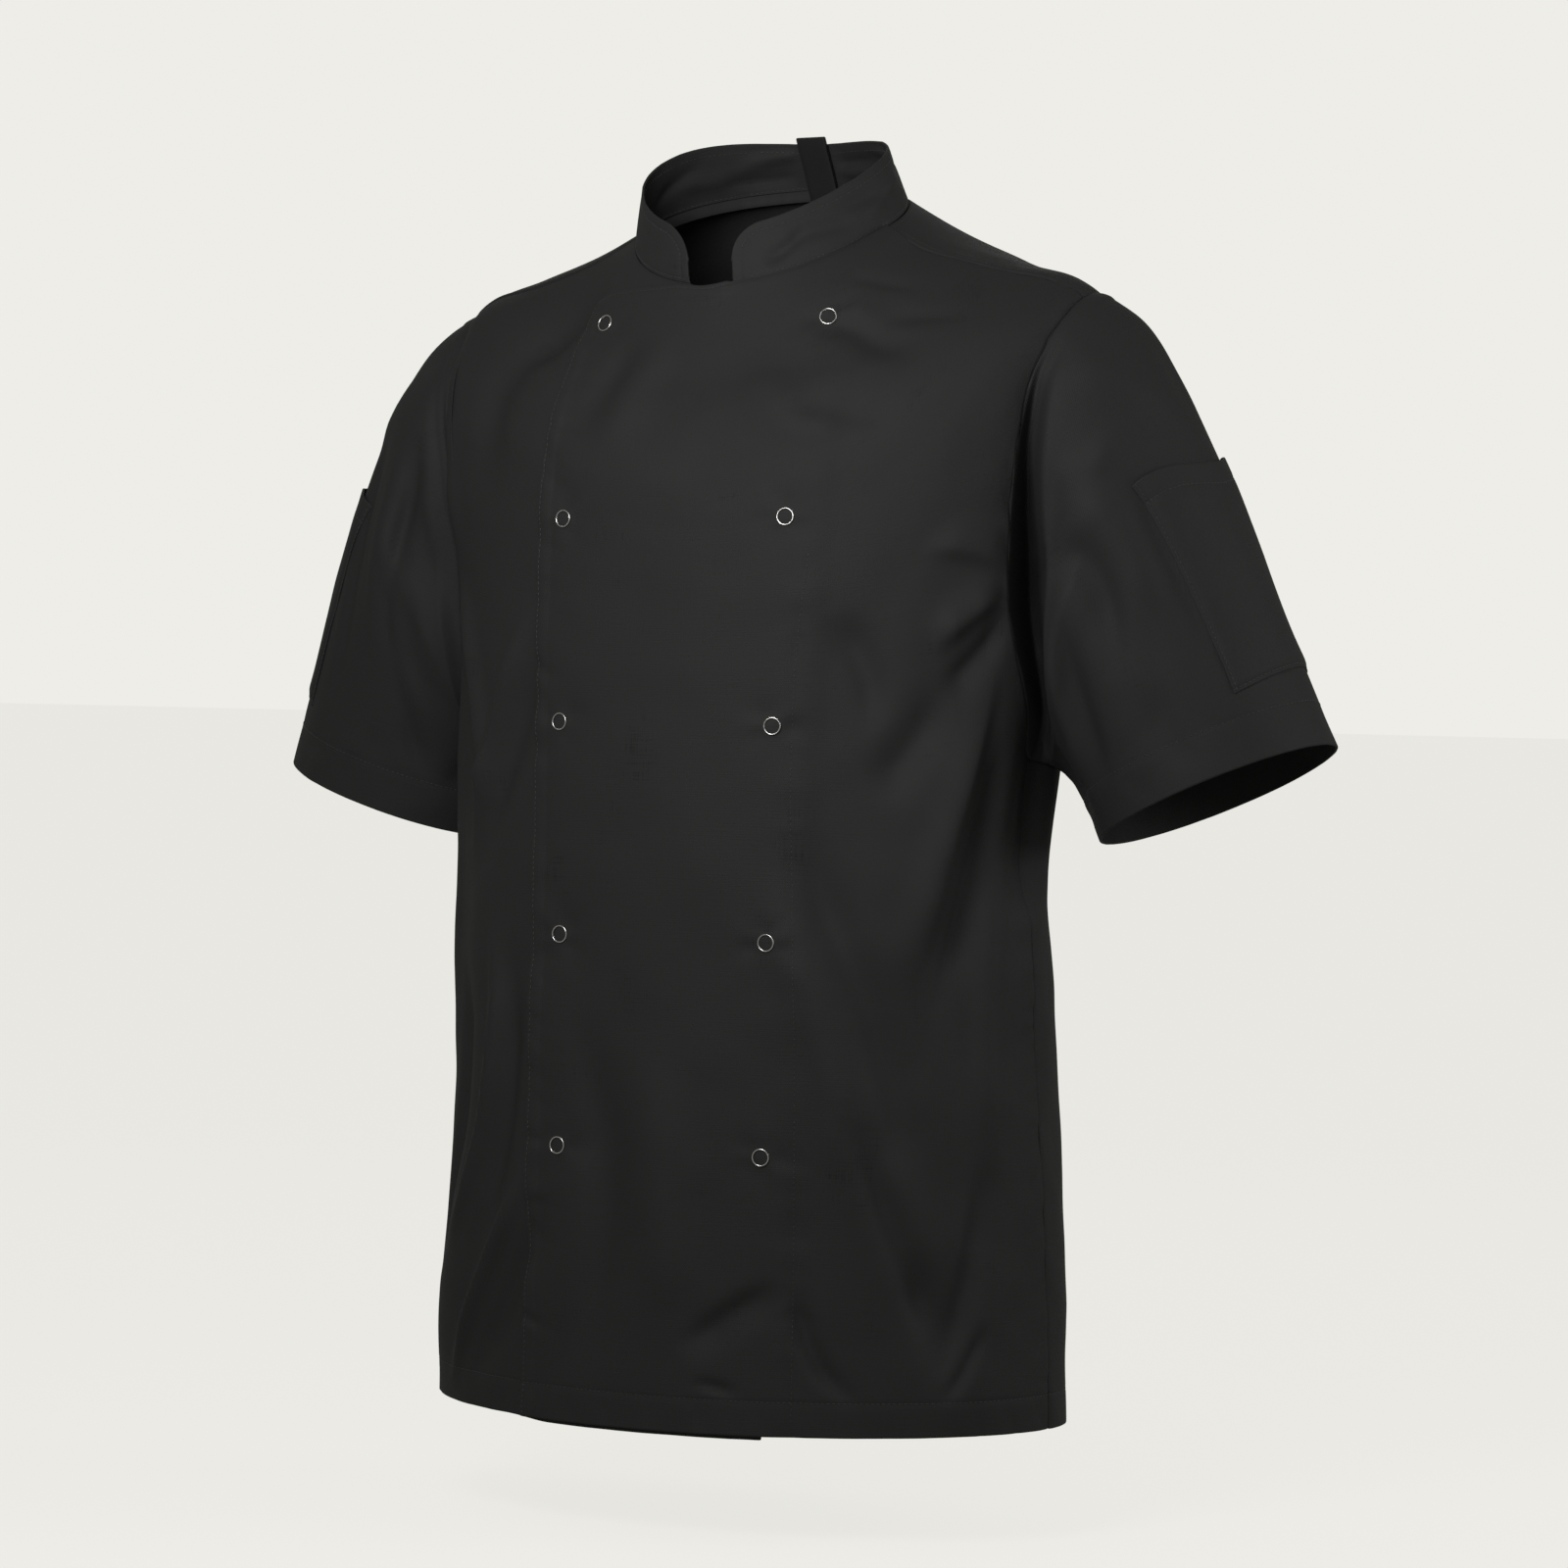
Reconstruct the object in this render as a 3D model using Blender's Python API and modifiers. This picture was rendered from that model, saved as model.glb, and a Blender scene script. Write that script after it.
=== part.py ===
"""Short-sleeved double-breasted chef jacket, in the hollow shape it has when it is worn.

Units are metres, +Z is up, the front faces -Y and the wearer's left is +X. The origin lies
midway between the two points where the shoulders meet the collar.
The body is one lofted form from the hem to the collar seam. Every panel is a patch of that form,
so the panels meet at their seams and lie on each other where they overlap.
"""

import bpy
import mathutils
import numpy as np

MM = 0.001

# Cloth and its layers
CLOTH = 1.5 * MM
COLLAR_CLOTH = 2.0 * MM
LAYER_GAP = 0.35 * MM
SEAM_GAP = 0.4 * MM
LAP_LIFT = CLOTH + 0.8 * MM  # of the upper front, over the lower one
PATCH_LIFT = CLOTH + LAYER_GAP  # of what is sewn flat on a panel

# Body sections from the hem (level 0) to the collar seam (level 1), in millimetres.
# half_width: at the side. front_y, side_y, back_y: where the section crosses the middle of the
# front, the side and the middle of the back. front_z, side_z, back_z: its height there.
# tilt: how much of the height runs evenly from front to back, which the collar seam does.
SECTION_COLUMNS = (
    "level", "half_width", "front_y", "side_y", "back_y", "front_z", "side_z", "back_z", "tilt"
)
SECTIONS = (
    (0.00, 208, -126, 6, 138, -734, -731, -732, 0),
    (0.18, 202, -122, 3, 129, -600, -600, -600, 0),
    (0.34, 196, -119, -3, 115, -470, -470, -470, 0),
    (0.44, 194, -118, -2, 113, -392, -394, -392, 0),
    (0.51, 198, -116, 4, 119, -330, -332, -330, 0),
    (0.61, 209, -113, 15, 128, -250, -228, -245, 0),
    (0.70, 221, -110, 25, 130, -195, -140, -170, 0),
    (0.78, 223, -104, 28, 126, -158, -64, -104, 0),
    (0.84, 200, -93, 25, 118, -127, -41, -66, 2),
    (0.89, 166, -81, 21, 108, -104, -32, -34, 8),
    (0.945, 124, -70, 15, 94, -74, -18, 0, 20),
    (1.00, 88, -61, 8, 78, -44, -3, 23, 31),
)
PIT_LEVEL = 0.51
SIDE_SEAM_ANGLE = -1.0
SHOULDER_TILT = 0.02  # the wearer's left shoulder is the higher one: height over distance sideways
TILT_FROM, TILT_TO = -350 * MM, -100 * MM  # heights between which the tilt sets in

# Shoulder seam, which lies forward of the ridge, from the collar to the armhole
SHOULDER_COLUMNS = ("way", "angle", "level")
SHOULDER_SEAM = (
    (0.00, -11, 1.000),
    (0.22, -16, 0.955),
    (0.42, -15, 0.916),
    (0.70, -12, 0.862),
    (1.00, -8, 0.804),
)

# Armhole of the wearer's left side, once round from the pit, up the front, over the shoulder and
# down the back. share: of the way round. angle: from the side towards the back. level: of the body.
ARMHOLE_COLUMNS = ("share", "angle", "level")
ARMHOLE = (
    (0.00, -1.0, 0.510),
    (0.09, -15.0, 0.554),
    (0.17, -23.5, 0.602),
    (0.24, -27.0, 0.652),
    (0.33, -28.5, 0.716),
    (0.41, -25.5, 0.763),
    (0.46, -18.5, 0.787),
    (0.51, -8.0, 0.804),
    (0.56, 5.0, 0.806),
    (0.62, 17.0, 0.785),
    (0.69, 25.0, 0.740),
    (0.77, 27.5, 0.680),
    (0.86, 25.0, 0.612),
    (0.94, 13.0, 0.548),
    (1.00, -1.0, 0.510),
)
SHOULDER_SHARE = 0.51  # where the shoulder seam meets the armhole
POCKET_SHARES = (0.375, 0.635)  # front and back edge of the sleeve pocket, on the same way round
FRONT_SHARES = np.concatenate([np.linspace(0, 0.375, 11), np.linspace(0.375, SHOULDER_SHARE, 5)[1:]])
BACK_SHARES = np.concatenate([np.linspace(1, 0.635, 11), np.linspace(0.635, SHOULDER_SHARE, 5)[1:]])

# Front edges, past the middle, and the free top edge of the upper front
OVERLAP_EDGE = ((0.00, 88), (0.30, 92), (0.55, 96), (0.72, 97), (0.93, 96))  # level, millimetres
UNDERLAP_EDGE = ((0.00, 76), (0.45, 80), (0.72, 84), (0.93, 86))
LAP_TOP_HEIGHT = -48 * MM
LEFT_COLLAR_END, RIGHT_COLLAR_END = 12 * MM, 20 * MM  # of the collar, from the middle
LAYER_EDGE = 5 * MM  # past the lower front's edge, where the upper one starts to come down
LAYER_STEP = 18 * MM  # over which it comes down

# Largest folds of the body: a soft ridge or trough from one place to another on the body form.
# height: outwards. width: from its crest to where it fades. Both in millimetres.
FOLD_COLUMNS = ("from_angle", "from_level", "to_angle", "to_level", "width", "height")
FOLDS = (
    (-32, 0.540, -50, 0.330, 34, 4.5),
    (-16, 0.460, -30, 0.280, 30, -4.0),
    (-60, 0.400, -44, 0.060, 34, 3.5),
    (-26, 0.180, -28, 0.010, 32, 3.5),
    (-128, 0.520, -142, 0.330, 32, 3.5),
    (-134, 0.200, -154, 0.030, 32, 4.0),
    (40, 0.600, 60, 0.400, 34, 4.0),
    (140, 0.580, 118, 0.380, 34, 4.0),
    (64, 0.330, 72, 0.040, 36, -4.0),
    (112, 0.260, 106, 0.030, 36, 3.5),
    (22, 0.380, 30, 0.100, 32, 3.0),
    (156, 0.400, 150, 0.120, 32, -3.0),
)
ARC_PER_DEGREE = 3.2  # millimetres along the body for each degree
LEVEL_HEIGHT = 760  # millimetres for one level

# Snap rows from the top: height and distance of each column from the middle, in millimetres
SNAP_COLUMNS = ("height", "right_distance", "left_distance")
SNAP_ROWS = ((-66, 78, 76), (-187, 77, 74), (-311, 75, 71), (-440, 71, 72), (-568, 67, 72))
SNAP_RING, SNAP_WIRE = 5.2 * MM, 0.8 * MM
SNAP_GAP = 0.35 * MM

# Sleeves. height: of the cuff's middle, in millimetres, as the wearer's right arm hangs a little
# lower. rise_out: how fast the cuff's plane rises outwards.
SLEEVE_COLUMNS = ("side", "height", "rise_out")
SLEEVES = (("left", -347, 0.45), ("right", -363, 0.34))
CUFF_PLACE = np.array([289, 54]) * MM
CUFF_HALF_WIDTH, CUFF_HALF_DEPTH = 70 * MM, 69 * MM
ARM_MIDDLE = np.array([200, 20, -190]) * MM  # of the armhole
PIT_GAP = 1.7 * MM  # of the sleeve's seam at the armpit, where its walls turn sharply
LEAVE_OUT, LEAVE_ROUND, LEAVE_DOWN, LEAVE_UNDER = 1.0, 0.42, 0.46, 0.06  # how it leaves the armhole
LEAVE_PULL, ARRIVE_PULL = 0.45, 2.4  # how long it keeps that direction, and the cuff's
POCKET_TOP, POCKET_BOTTOM = 0.44, 0.84  # along the sleeve
POCKET_TOP_SKEW = 0.07  # how much nearer to the armhole the mouth's two ends are
POCKET_TAKE_IN = 0.13  # how much of its width the sleeve's grid takes in at the mouth
POCKET_EASE = 2.5 * MM  # how far the pocket's mouth stands off the sleeve
SLEEVE_ROWS = (0, 0.05, 0.10, 0.15, 0.21, 0.28, 0.36, POCKET_TOP, 0.54, 0.64, 0.74, POCKET_BOTTOM, 0.92, 1)
ARMHOLE_VALLEY = ((0.06, 0.42, 11), (0.62, 0.92, 8))  # from share, to share, depth in millimetres

# Collar
COLLAR_HEIGHT_COLUMNS = ("from_end", "height")  # along the seam from either end, in millimetres
COLLAR_HEIGHTS = ((0, 33), (90, 38), (150, 37), (215, 31))
COLLAR_LEAN_FRONT, COLLAR_LEAN_BACK, COLLAR_LEAN_RIGHT = 0.08, 0.32, 0.13
COLLAR_CORNER = 19 * MM
COLLAR_ROWS = 4

# Hang loop: a tape folded in two, inside the middle of the back collar
LOOP_WIDTH, LOOP_TAPE, LOOP_SLIT = 19 * MM, 1.0 * MM, 0.6 * MM
LOOP_ABOVE, LOOP_BELOW = 5 * MM, 7 * MM  # past the collar's top edge and its seam
LOOP_EASE = 0.8 * MM  # the collar's curve over the loop's width

# Grid of the panels
ROWS_BELOW = 16
LAP_CELLS, NECK_CELLS, SHOULDER_CELLS, BACK_NECK_CELLS = 6, 7, 7, 10
RELAX_STEPS = 60


def smooth_table(rows, places):
    """Columns of a table at any place of its first column, on a smooth curve through its rows."""
    table = np.array(rows, float)
    knots, values = table[:, 0], table[:, 1:]
    steps = np.diff(knots)[:, None]
    slopes = np.diff(values, axis=0) / steps
    middle = (slopes[:-1] * steps[1:] + slopes[1:] * steps[:-1]) / (steps[:-1] + steps[1:])
    tangents = np.concatenate([slopes[:1], middle, slopes[-1:]])
    places = np.asarray(places, float)
    spot = np.clip(np.searchsorted(knots, places, side="right") - 1, 0, len(knots) - 2)
    width = steps[spot]
    t = (places - knots[spot])[..., None] / width
    return (
        (1 + 2 * t) * (1 - t) ** 2 * values[spot]
        + t * (1 - t) ** 2 * width * tangents[spot]
        + t**2 * (3 - 2 * t) * values[spot + 1]
        + t**2 * (t - 1) * width * tangents[spot + 1]
    )


def smooth_step(value):
    value = np.clip(value, 0, 1)
    return value * value * (3 - 2 * value)


def unit(vectors):
    return vectors / np.maximum(np.linalg.norm(vectors, axis=-1, keepdims=True), 1e-12)


def pairs(angle, level):
    return np.stack(np.broadcast_arrays(angle, level), axis=-1).astype(float)


# Body form --------------------------------------------------------------------------------------
def body(angle, level):
    """Points of the body form. Each level is an ellipse whose height runs with the sine and its
    square. Angle 0 is the wearer's left side, 90 the middle of the back, -90 that of the front."""
    angle, level = np.broadcast_arrays(np.asarray(angle, float), np.asarray(level, float))
    half_width, front_y, side_y, back_y, front_z, side_z, back_z, tilt = np.moveaxis(
        smooth_table(SECTIONS, level) * MM, -1, 0
    )
    across, along = np.cos(np.radians(angle)), np.sin(np.radians(angle))
    end_y = np.where(along < 0, front_y, back_y)
    end_z = np.where(along < 0, front_z + tilt, back_z - tilt)
    reach = np.abs(along)
    height = side_z + tilt * along + (end_z - side_z) * reach**2
    return np.stack([half_width * across, side_y + (end_y - side_y) * reach, height], axis=-1)


def body_normal(angle, level):
    """Outward direction of the body form."""
    level = np.clip(level, 0.002, 0.998)
    round_it = body(angle + 0.2, level) - body(angle - 0.2, level)
    up_it = body(angle, level + 0.002) - body(angle, level - 0.002)
    return unit(np.cross(round_it, up_it))


def fold_height(angle, level):
    """Sum of the folds, each fading to its sides and its ends."""
    total = np.zeros(np.shape(angle))
    turned = (np.asarray(angle, float) + 180) % 360 - 180
    for from_angle, from_level, to_angle, to_level, width, height in FOLDS:
        run = np.array([(to_angle - from_angle) * ARC_PER_DEGREE, (to_level - from_level) * LEVEL_HEIGHT])
        length = np.linalg.norm(run)
        along_axis = run / length
        over = (turned - from_angle) * ARC_PER_DEGREE
        up = (level - from_level) * LEVEL_HEIGHT
        along = (over * along_axis[0] + up * along_axis[1]) / length
        off = (up * along_axis[0] - over * along_axis[1]) / width
        fade = smooth_step((along + 0.15) / 0.4) * smooth_step((1.15 - along) / 0.4)
        total += height * MM * np.exp(-(off**2)) * fade
    return total


def tilted(points):
    """Raises the wearer's left shoulder and lowers the right one."""
    share = smooth_step((points[..., 2] - TILT_FROM) / (TILT_TO - TILT_FROM))
    rise = SHOULDER_TILT * points[..., 0] * share
    return points + rise[..., None] * np.array([0, 0, 1.0])


def on_body(angle, level, lift):
    """The cloth's inner face: the body form with its folds, moved out by lift."""
    out = fold_height(angle, level) + lift
    return body(angle, level) + body_normal(angle, level) * np.asarray(out)[..., None]


def angle_at(distance, level):
    """Angle on the front where the section at this level is that far from the middle."""
    half_width = smooth_table(SECTIONS, level)[..., 0] * MM
    return -np.degrees(np.arccos(np.clip(distance / half_width, -1, 1)))


def level_at(distance, height):
    """Level of the front at this distance from the middle and this height."""
    low, high = np.zeros(np.shape(distance)), np.ones(np.shape(distance))
    for _ in range(40):
        middle = (low + high) / 2
        below = body(angle_at(distance, middle), middle)[..., 2] < height
        low, high = np.where(below, middle, low), np.where(below, high, middle)
    return (low + high) / 2


def armhole(share):
    angle, level = np.moveaxis(smooth_table(ARMHOLE, share), -1, 0)
    return angle, level


def patch(bottom, outer, top, inner):
    """Fills four edges given as (angle, level) arrays with a grid, rows from bottom to top. Its
    inside is relaxed by the elliptic rule, which keeps cells even and never folds them over a
    hollow edge: each point is the mean of its neighbours, weighted by the cells' two lengths."""
    columns = np.linspace(0, 1, bottom.shape[0])[None, :, None]
    rows = np.linspace(0, 1, outer.shape[0])[:, None, None]
    ruled = (1 - rows) * bottom[None] + rows * top[None]
    sides = (1 - columns) * inner[:, None] + columns * outer[:, None]
    corners = (1 - rows) * ((1 - columns) * bottom[0] + columns * bottom[-1]) + rows * (
        (1 - columns) * top[0] + columns * top[-1]
    )
    lengths = np.array([ARC_PER_DEGREE, LEVEL_HEIGHT])
    grid = (ruled + sides - corners) * lengths
    for _ in range(RELAX_STEPS):
        below, above, left, right = grid[:-2, 1:-1], grid[2:, 1:-1], grid[1:-1, :-2], grid[1:-1, 2:]
        across, up = (right - left) / 2, (above - below) / 2
        up_weight = np.sum(up**2, axis=-1, keepdims=True)
        across_weight = np.sum(across**2, axis=-1, keepdims=True)
        slant = np.sum(across * up, axis=-1, keepdims=True)
        twist = (grid[2:, 2:] - grid[2:, :-2] - grid[:-2, 2:] + grid[:-2, :-2]) / 2
        total = up_weight * (left + right) + across_weight * (below + above) - slant * twist
        grid[1:-1, 1:-1] = total / (2 * (up_weight + across_weight))
    return grid / lengths


def outer_edge(shares, side):
    """A panel's edge up the side seam and round its part of the armhole, side -1 in front and +1
    behind, half a seam gap from the seam."""
    below = pairs(SIDE_SEAM_ANGLE, np.linspace(0, PIT_LEVEL, ROWS_BELOW + 1))
    angle, level = armhole(shares[1:])
    edge = np.concatenate([below, pairs(angle, level)])
    edge[:, 0] += side * SEAM_GAP / 2 / MM / ARC_PER_DEGREE
    return edge


def shoulder_edge(outer_corner, side):
    """A panel's edge from the collar to the armhole, half a seam gap from the shoulder seam."""
    way = np.linspace(0, 1, SHOULDER_CELLS + 1)
    edge = smooth_table(SHOULDER_SEAM, way)
    edge[:, 0] += side * SEAM_GAP / MM / ARC_PER_DEGREE
    edge[-1] = outer_corner
    return edge


# Meshes -----------------------------------------------------------------------------------------
def material(name, colour, roughness, metallic):
    made = bpy.data.materials.new(name)
    made.use_nodes = True
    shader = made.node_tree.nodes["Principled BSDF"]
    shader.inputs["Base Color"].default_value = (*colour, 1)
    shader.inputs["Roughness"].default_value = roughness
    shader.inputs["Metallic"].default_value = metallic
    return made


def cloth(name, points, thickness, closed=False):
    """A wall of cloth on a grid of points, made thick outwards: columns run anticlockwise and
    rows up, seen from outside. closed joins the last column to the first."""
    rows, columns = points.shape[:2]
    index = np.arange(rows * columns).reshape(rows, columns)
    if closed:
        index = np.concatenate([index, index[:, :1]], axis=1)
    faces = np.stack([index[:-1, :-1], index[:-1, 1:], index[1:, 1:], index[1:, :-1]], axis=-1)
    mesh = bpy.data.meshes.new(name)
    mesh.from_pydata(tilted(points).reshape(-1, 3).tolist(), [], faces.reshape(-1, 4).tolist())
    mesh.materials.append(material(name, (0.018, 0.018, 0.019), 0.85, 0.0))
    mesh.shade_smooth()
    piece = bpy.data.objects.new(name, mesh)
    jacket.objects.link(piece)
    wall = piece.modifiers.new("wall", "SOLIDIFY")
    wall.thickness = thickness
    wall.offset = 1.0
    return piece


def mirrored(points):
    """The same grid on the wearer's right side, still facing out."""
    return points[:, ::-1] * np.array([-1, 1, 1])


# Front panels -----------------------------------------------------------------------------------
def front_grid(edge_table, collar_end):
    """(angle, level) grid of the wearer's left front: from its front edge to the side seam and
    armhole, and from the hem to the collar seam and the shoulder seam."""
    edge_distance = smooth_table(edge_table, 0.93)[0] * MM
    top_level = level_at(-edge_distance, LAP_TOP_HEIGHT)
    above = np.linspace(PIT_LEVEL, top_level, len(FRONT_SHARES))[1:]
    edge_levels = np.concatenate([np.linspace(0, PIT_LEVEL, ROWS_BELOW + 1), above])
    inner = pairs(angle_at(-smooth_table(edge_table, edge_levels)[:, 0] * MM, edge_levels), edge_levels)
    outer = outer_edge(FRONT_SHARES, -1)

    end_angle = angle_at(collar_end, 1.0)
    lap_distance = np.linspace(-edge_distance, collar_end, LAP_CELLS + 1)[:-1]
    lap_height = np.linspace(LAP_TOP_HEIGHT, body(end_angle, 1.0)[2], LAP_CELLS + 1)[:-1]
    lap_level = np.minimum(level_at(lap_distance, lap_height), 0.995)
    lap_top = pairs(angle_at(lap_distance, lap_level), lap_level)
    lap_top[0] = inner[-1]
    top = np.concatenate([lap_top, pairs(neck_angles(end_angle)[:-1], 1.0), shoulder_edge(outer[-1], -1)])
    bottom = pairs(np.linspace(inner[0, 0], outer[0, 0], len(top)), 0.0)
    return patch(bottom, outer, top, inner)


def neck_angles(end_angle):
    """Places along the collar seam from the collar's end to the shoulder seam."""
    return np.linspace(end_angle, SHOULDER_SEAM[0][1], NECK_CELLS + 1)


def upper_lift(angle, level):
    """The upper front lies on the lower one, and comes down to the body past its edge."""
    edge = smooth_table(UNDERLAP_EDGE, level)[..., 0] * MM
    distance = body(angle, level)[..., 0]
    return LAP_LIFT * (1 - smooth_step((distance - edge - LAYER_EDGE) / LAYER_STEP))


def build_fronts():
    angle, level = np.moveaxis(front_grid(OVERLAP_EDGE, LEFT_COLLAR_END), -1, 0)
    cloth("front_left", on_body(angle, level, upper_lift(angle, level)), CLOTH)
    angle, level = np.moveaxis(front_grid(UNDERLAP_EDGE, RIGHT_COLLAR_END), -1, 0)
    points = on_body(-180 - angle[:, ::-1], level[:, ::-1], 0.0)
    cloth("front_right", points, CLOTH)


# Back panel -------------------------------------------------------------------------------------
def build_back():
    """One piece whose upper edge lies forward of the shoulder's ridge."""
    middle_above = np.linspace(PIT_LEVEL, 1, len(BACK_SHARES))[1:]
    inner = pairs(90.0, np.concatenate([np.linspace(0, PIT_LEVEL, ROWS_BELOW + 1), middle_above]))
    outer = outer_edge(BACK_SHARES, 1)
    neck = pairs(np.linspace(90.0, SHOULDER_SEAM[0][1], BACK_NECK_CELLS + 1)[:-1], 1.0)
    top = np.concatenate([neck, shoulder_edge(outer[-1], 1)])
    bottom = pairs(np.linspace(90.0, outer[0, 0], len(top)), 0.0)
    left_angle, left_level = np.moveaxis(patch(bottom, outer, top, inner), -1, 0)
    angle = np.concatenate([left_angle[:, ::-1], 180 - left_angle[:, 1:]], axis=1)
    level = np.concatenate([left_level[:, ::-1], left_level[:, 1:]], axis=1)
    cloth("back", on_body(angle, level, 0.0), CLOTH)


# Sleeves ----------------------------------------------------------------------------------------
def sleeve_points(share, row, cuff_height, rise_out):
    """Inner face of a sleeve, on the wearer's left. share goes round from the pit over the front,
    and row runs from 0 at the armhole to 1 at the cuff, through the pocket's top and bottom."""
    share, row = np.broadcast_arrays(np.asarray(share, float), np.asarray(row, float))
    above_bottom = np.clip((POCKET_BOTTOM - row) / (POCKET_BOTTOM - POCKET_TOP), 0, 1)
    mouth = smooth_step(row / POCKET_TOP) * above_bottom
    off_middle = share - np.mean(POCKET_SHARES)
    along = row - POCKET_TOP_SKEW * mouth * smooth_step(np.abs(off_middle) / 0.16)
    share = share - POCKET_TAKE_IN * mouth * off_middle * smooth_step((0.4 - np.abs(off_middle)) / 0.25)
    turn = 2 * np.pi * share
    angle, level = armhole(share % 1)
    edge = body(angle, level)
    round_it = body(*armhole((share + 0.002) % 1)) - body(*armhole((share - 0.002) % 1))
    outward = body_normal(angle, level)
    into_hole = np.cross(unit(round_it), outward)
    leave_down = LEAVE_DOWN + LEAVE_UNDER * np.cos(turn)
    leave = unit(np.stack([LEAVE_OUT + 0 * turn, -LEAVE_ROUND * np.sin(turn), -leave_down], axis=-1))
    climb = np.sum(leave * outward, axis=-1, keepdims=True)
    near_pit = smooth_step((0.16 - np.minimum(share, 1 - share)) / 0.12)[..., None]
    gap = SEAM_GAP + (PIT_GAP - SEAM_GAP) * near_pit
    start = edge + into_hole * (gap + CLOTH * np.clip(climb, 0, 1))

    cuff_middle = np.array([*CUFF_PLACE, cuff_height * MM])
    over = np.stack([-np.cos(turn) * CUFF_HALF_WIDTH, -np.sin(turn) * CUFF_HALF_DEPTH], axis=-1)
    cuff = cuff_middle + np.concatenate([over, rise_out * over[..., :1]], axis=-1)
    arrive = unit(np.array([rise_out, 0.10, -1.0]))
    span = np.linalg.norm(cuff - start, axis=-1, keepdims=True)
    ways = np.linspace(0, 1, 201)
    gone = LEAVE_PULL * ways * (1 - ways) ** 2 + ways**2 * (3 - 2 * ways) - ARRIVE_PULL * ways**2 * (1 - ways)
    t = np.interp(along, gone, ways)[..., None]
    points = (
        (1 + 2 * t) * (1 - t) ** 2 * start
        + t * (1 - t) ** 2 * span * leave * LEAVE_PULL
        + t**2 * (3 - 2 * t) * cuff
        + t**2 * (t - 1) * span * arrive * ARRIVE_PULL
    )
    middle = ARM_MIDDLE + (cuff_middle - ARM_MIDDLE) * along[..., None]
    inward = unit(middle - points)
    valley = np.zeros(share.shape)
    for first, last, depth in ARMHOLE_VALLEY:
        place = np.clip((share - first) / (last - first), 0, 1)
        valley += depth * MM * np.sin(np.pi * place) ** 2
    trough = smooth_step(along / 0.13) * smooth_step((0.30 - along) / 0.17)
    return points + inward * (valley * trough)[..., None]


def sleeve_outward(share, row, *shape):
    round_it = sleeve_points(share + 0.004, row, *shape) - sleeve_points(share - 0.004, row, *shape)
    down_it = sleeve_points(share, row + 0.005, *shape) - sleeve_points(share, row - 0.005, *shape)
    return unit(np.cross(down_it, round_it))


def build_sleeves():
    shares = np.concatenate([FRONT_SHARES, BACK_SHARES[1:-1][::-1]])
    share, row = np.meshgrid(shares, SLEEVE_ROWS[::-1])
    for side, *shape in SLEEVES:
        points = sleeve_points(share, row, *shape)
        cloth("sleeve_" + side, points if side == "left" else mirrored(points), CLOTH, closed=True)


def build_pockets():
    """A patch on the outer side of each sleeve, on the sleeve's own points, with an easy mouth."""
    shares = np.concatenate([FRONT_SHARES, BACK_SHARES[1:-1][::-1]])
    first, last = POCKET_SHARES
    shares = shares[(shares > first - 1e-6) & (shares < last + 1e-6)]
    rows = [row for row in SLEEVE_ROWS if POCKET_TOP <= row <= POCKET_BOTTOM]
    share, row = np.meshgrid(shares, rows[::-1])
    down = (row - POCKET_TOP) / (POCKET_BOTTOM - POCKET_TOP)
    round_it = (share - first) / (last - first)
    ease = POCKET_EASE * np.sin(np.pi * round_it) * (1 - smooth_step(down / 0.7))
    for side, *shape in SLEEVES:
        lift = sleeve_outward(share, row, *shape) * (PATCH_LIFT + ease)[..., None]
        points = sleeve_points(share, row, *shape) + lift
        cloth("pocket_" + side, points if side == "left" else mirrored(points), CLOTH)


# Collar -----------------------------------------------------------------------------------------
def collar_grid():
    """Inner face of the stand collar, from the wearer's left end round the back to the right end,
    on the same places of the seam as the panels."""
    left = neck_angles(angle_at(LEFT_COLLAR_END, 1.0))
    right = 180 - neck_angles(angle_at(RIGHT_COLLAR_END, 1.0))[::-1]
    behind = np.linspace(left[-1], right[0], 2 * BACK_NECK_CELLS + 1)[1:-1]
    angle = np.concatenate([left, behind, right])
    seam = body(angle, 1.0)
    round_it = unit(body(angle + 0.2, 1.0) - body(angle - 0.2, 1.0))
    outward = body_normal(angle, 1.0)
    into_hole = np.cross(outward, round_it)
    level_out = unit(np.cross(round_it, np.array([0, 0, 1.0])))
    backness = np.sqrt((1 + np.sin(np.radians(angle))) / 2)
    lean = COLLAR_LEAN_FRONT + (COLLAR_LEAN_BACK - COLLAR_LEAN_FRONT) * backness
    up = unit(np.array([-COLLAR_LEAN_RIGHT, 0, 1.0]) - lean[:, None] * level_out)
    climb = np.sum(up * outward, axis=-1, keepdims=True)
    base = seam + into_hole * (SEAM_GAP + COLLAR_CLOTH * np.clip(climb, 0, 1))
    distance = np.concatenate([[0], np.cumsum(np.linalg.norm(np.diff(seam, axis=0), axis=-1))])
    from_end = np.minimum(distance, distance[-1] - distance)
    height = smooth_table(COLLAR_HEIGHTS, from_end / MM)[:, 0] * MM
    round_off = np.clip(1 - from_end / COLLAR_CORNER, 0, 1)
    height = height - COLLAR_CORNER * (1 - np.sqrt(1 - round_off**2))
    rise = np.linspace(0, 1, COLLAR_ROWS + 1)[:, None, None]
    return base[None] + up[None] * height[None, :, None] * rise


def build_collar():
    cloth("collar", collar_grid(), COLLAR_CLOTH)


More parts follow.
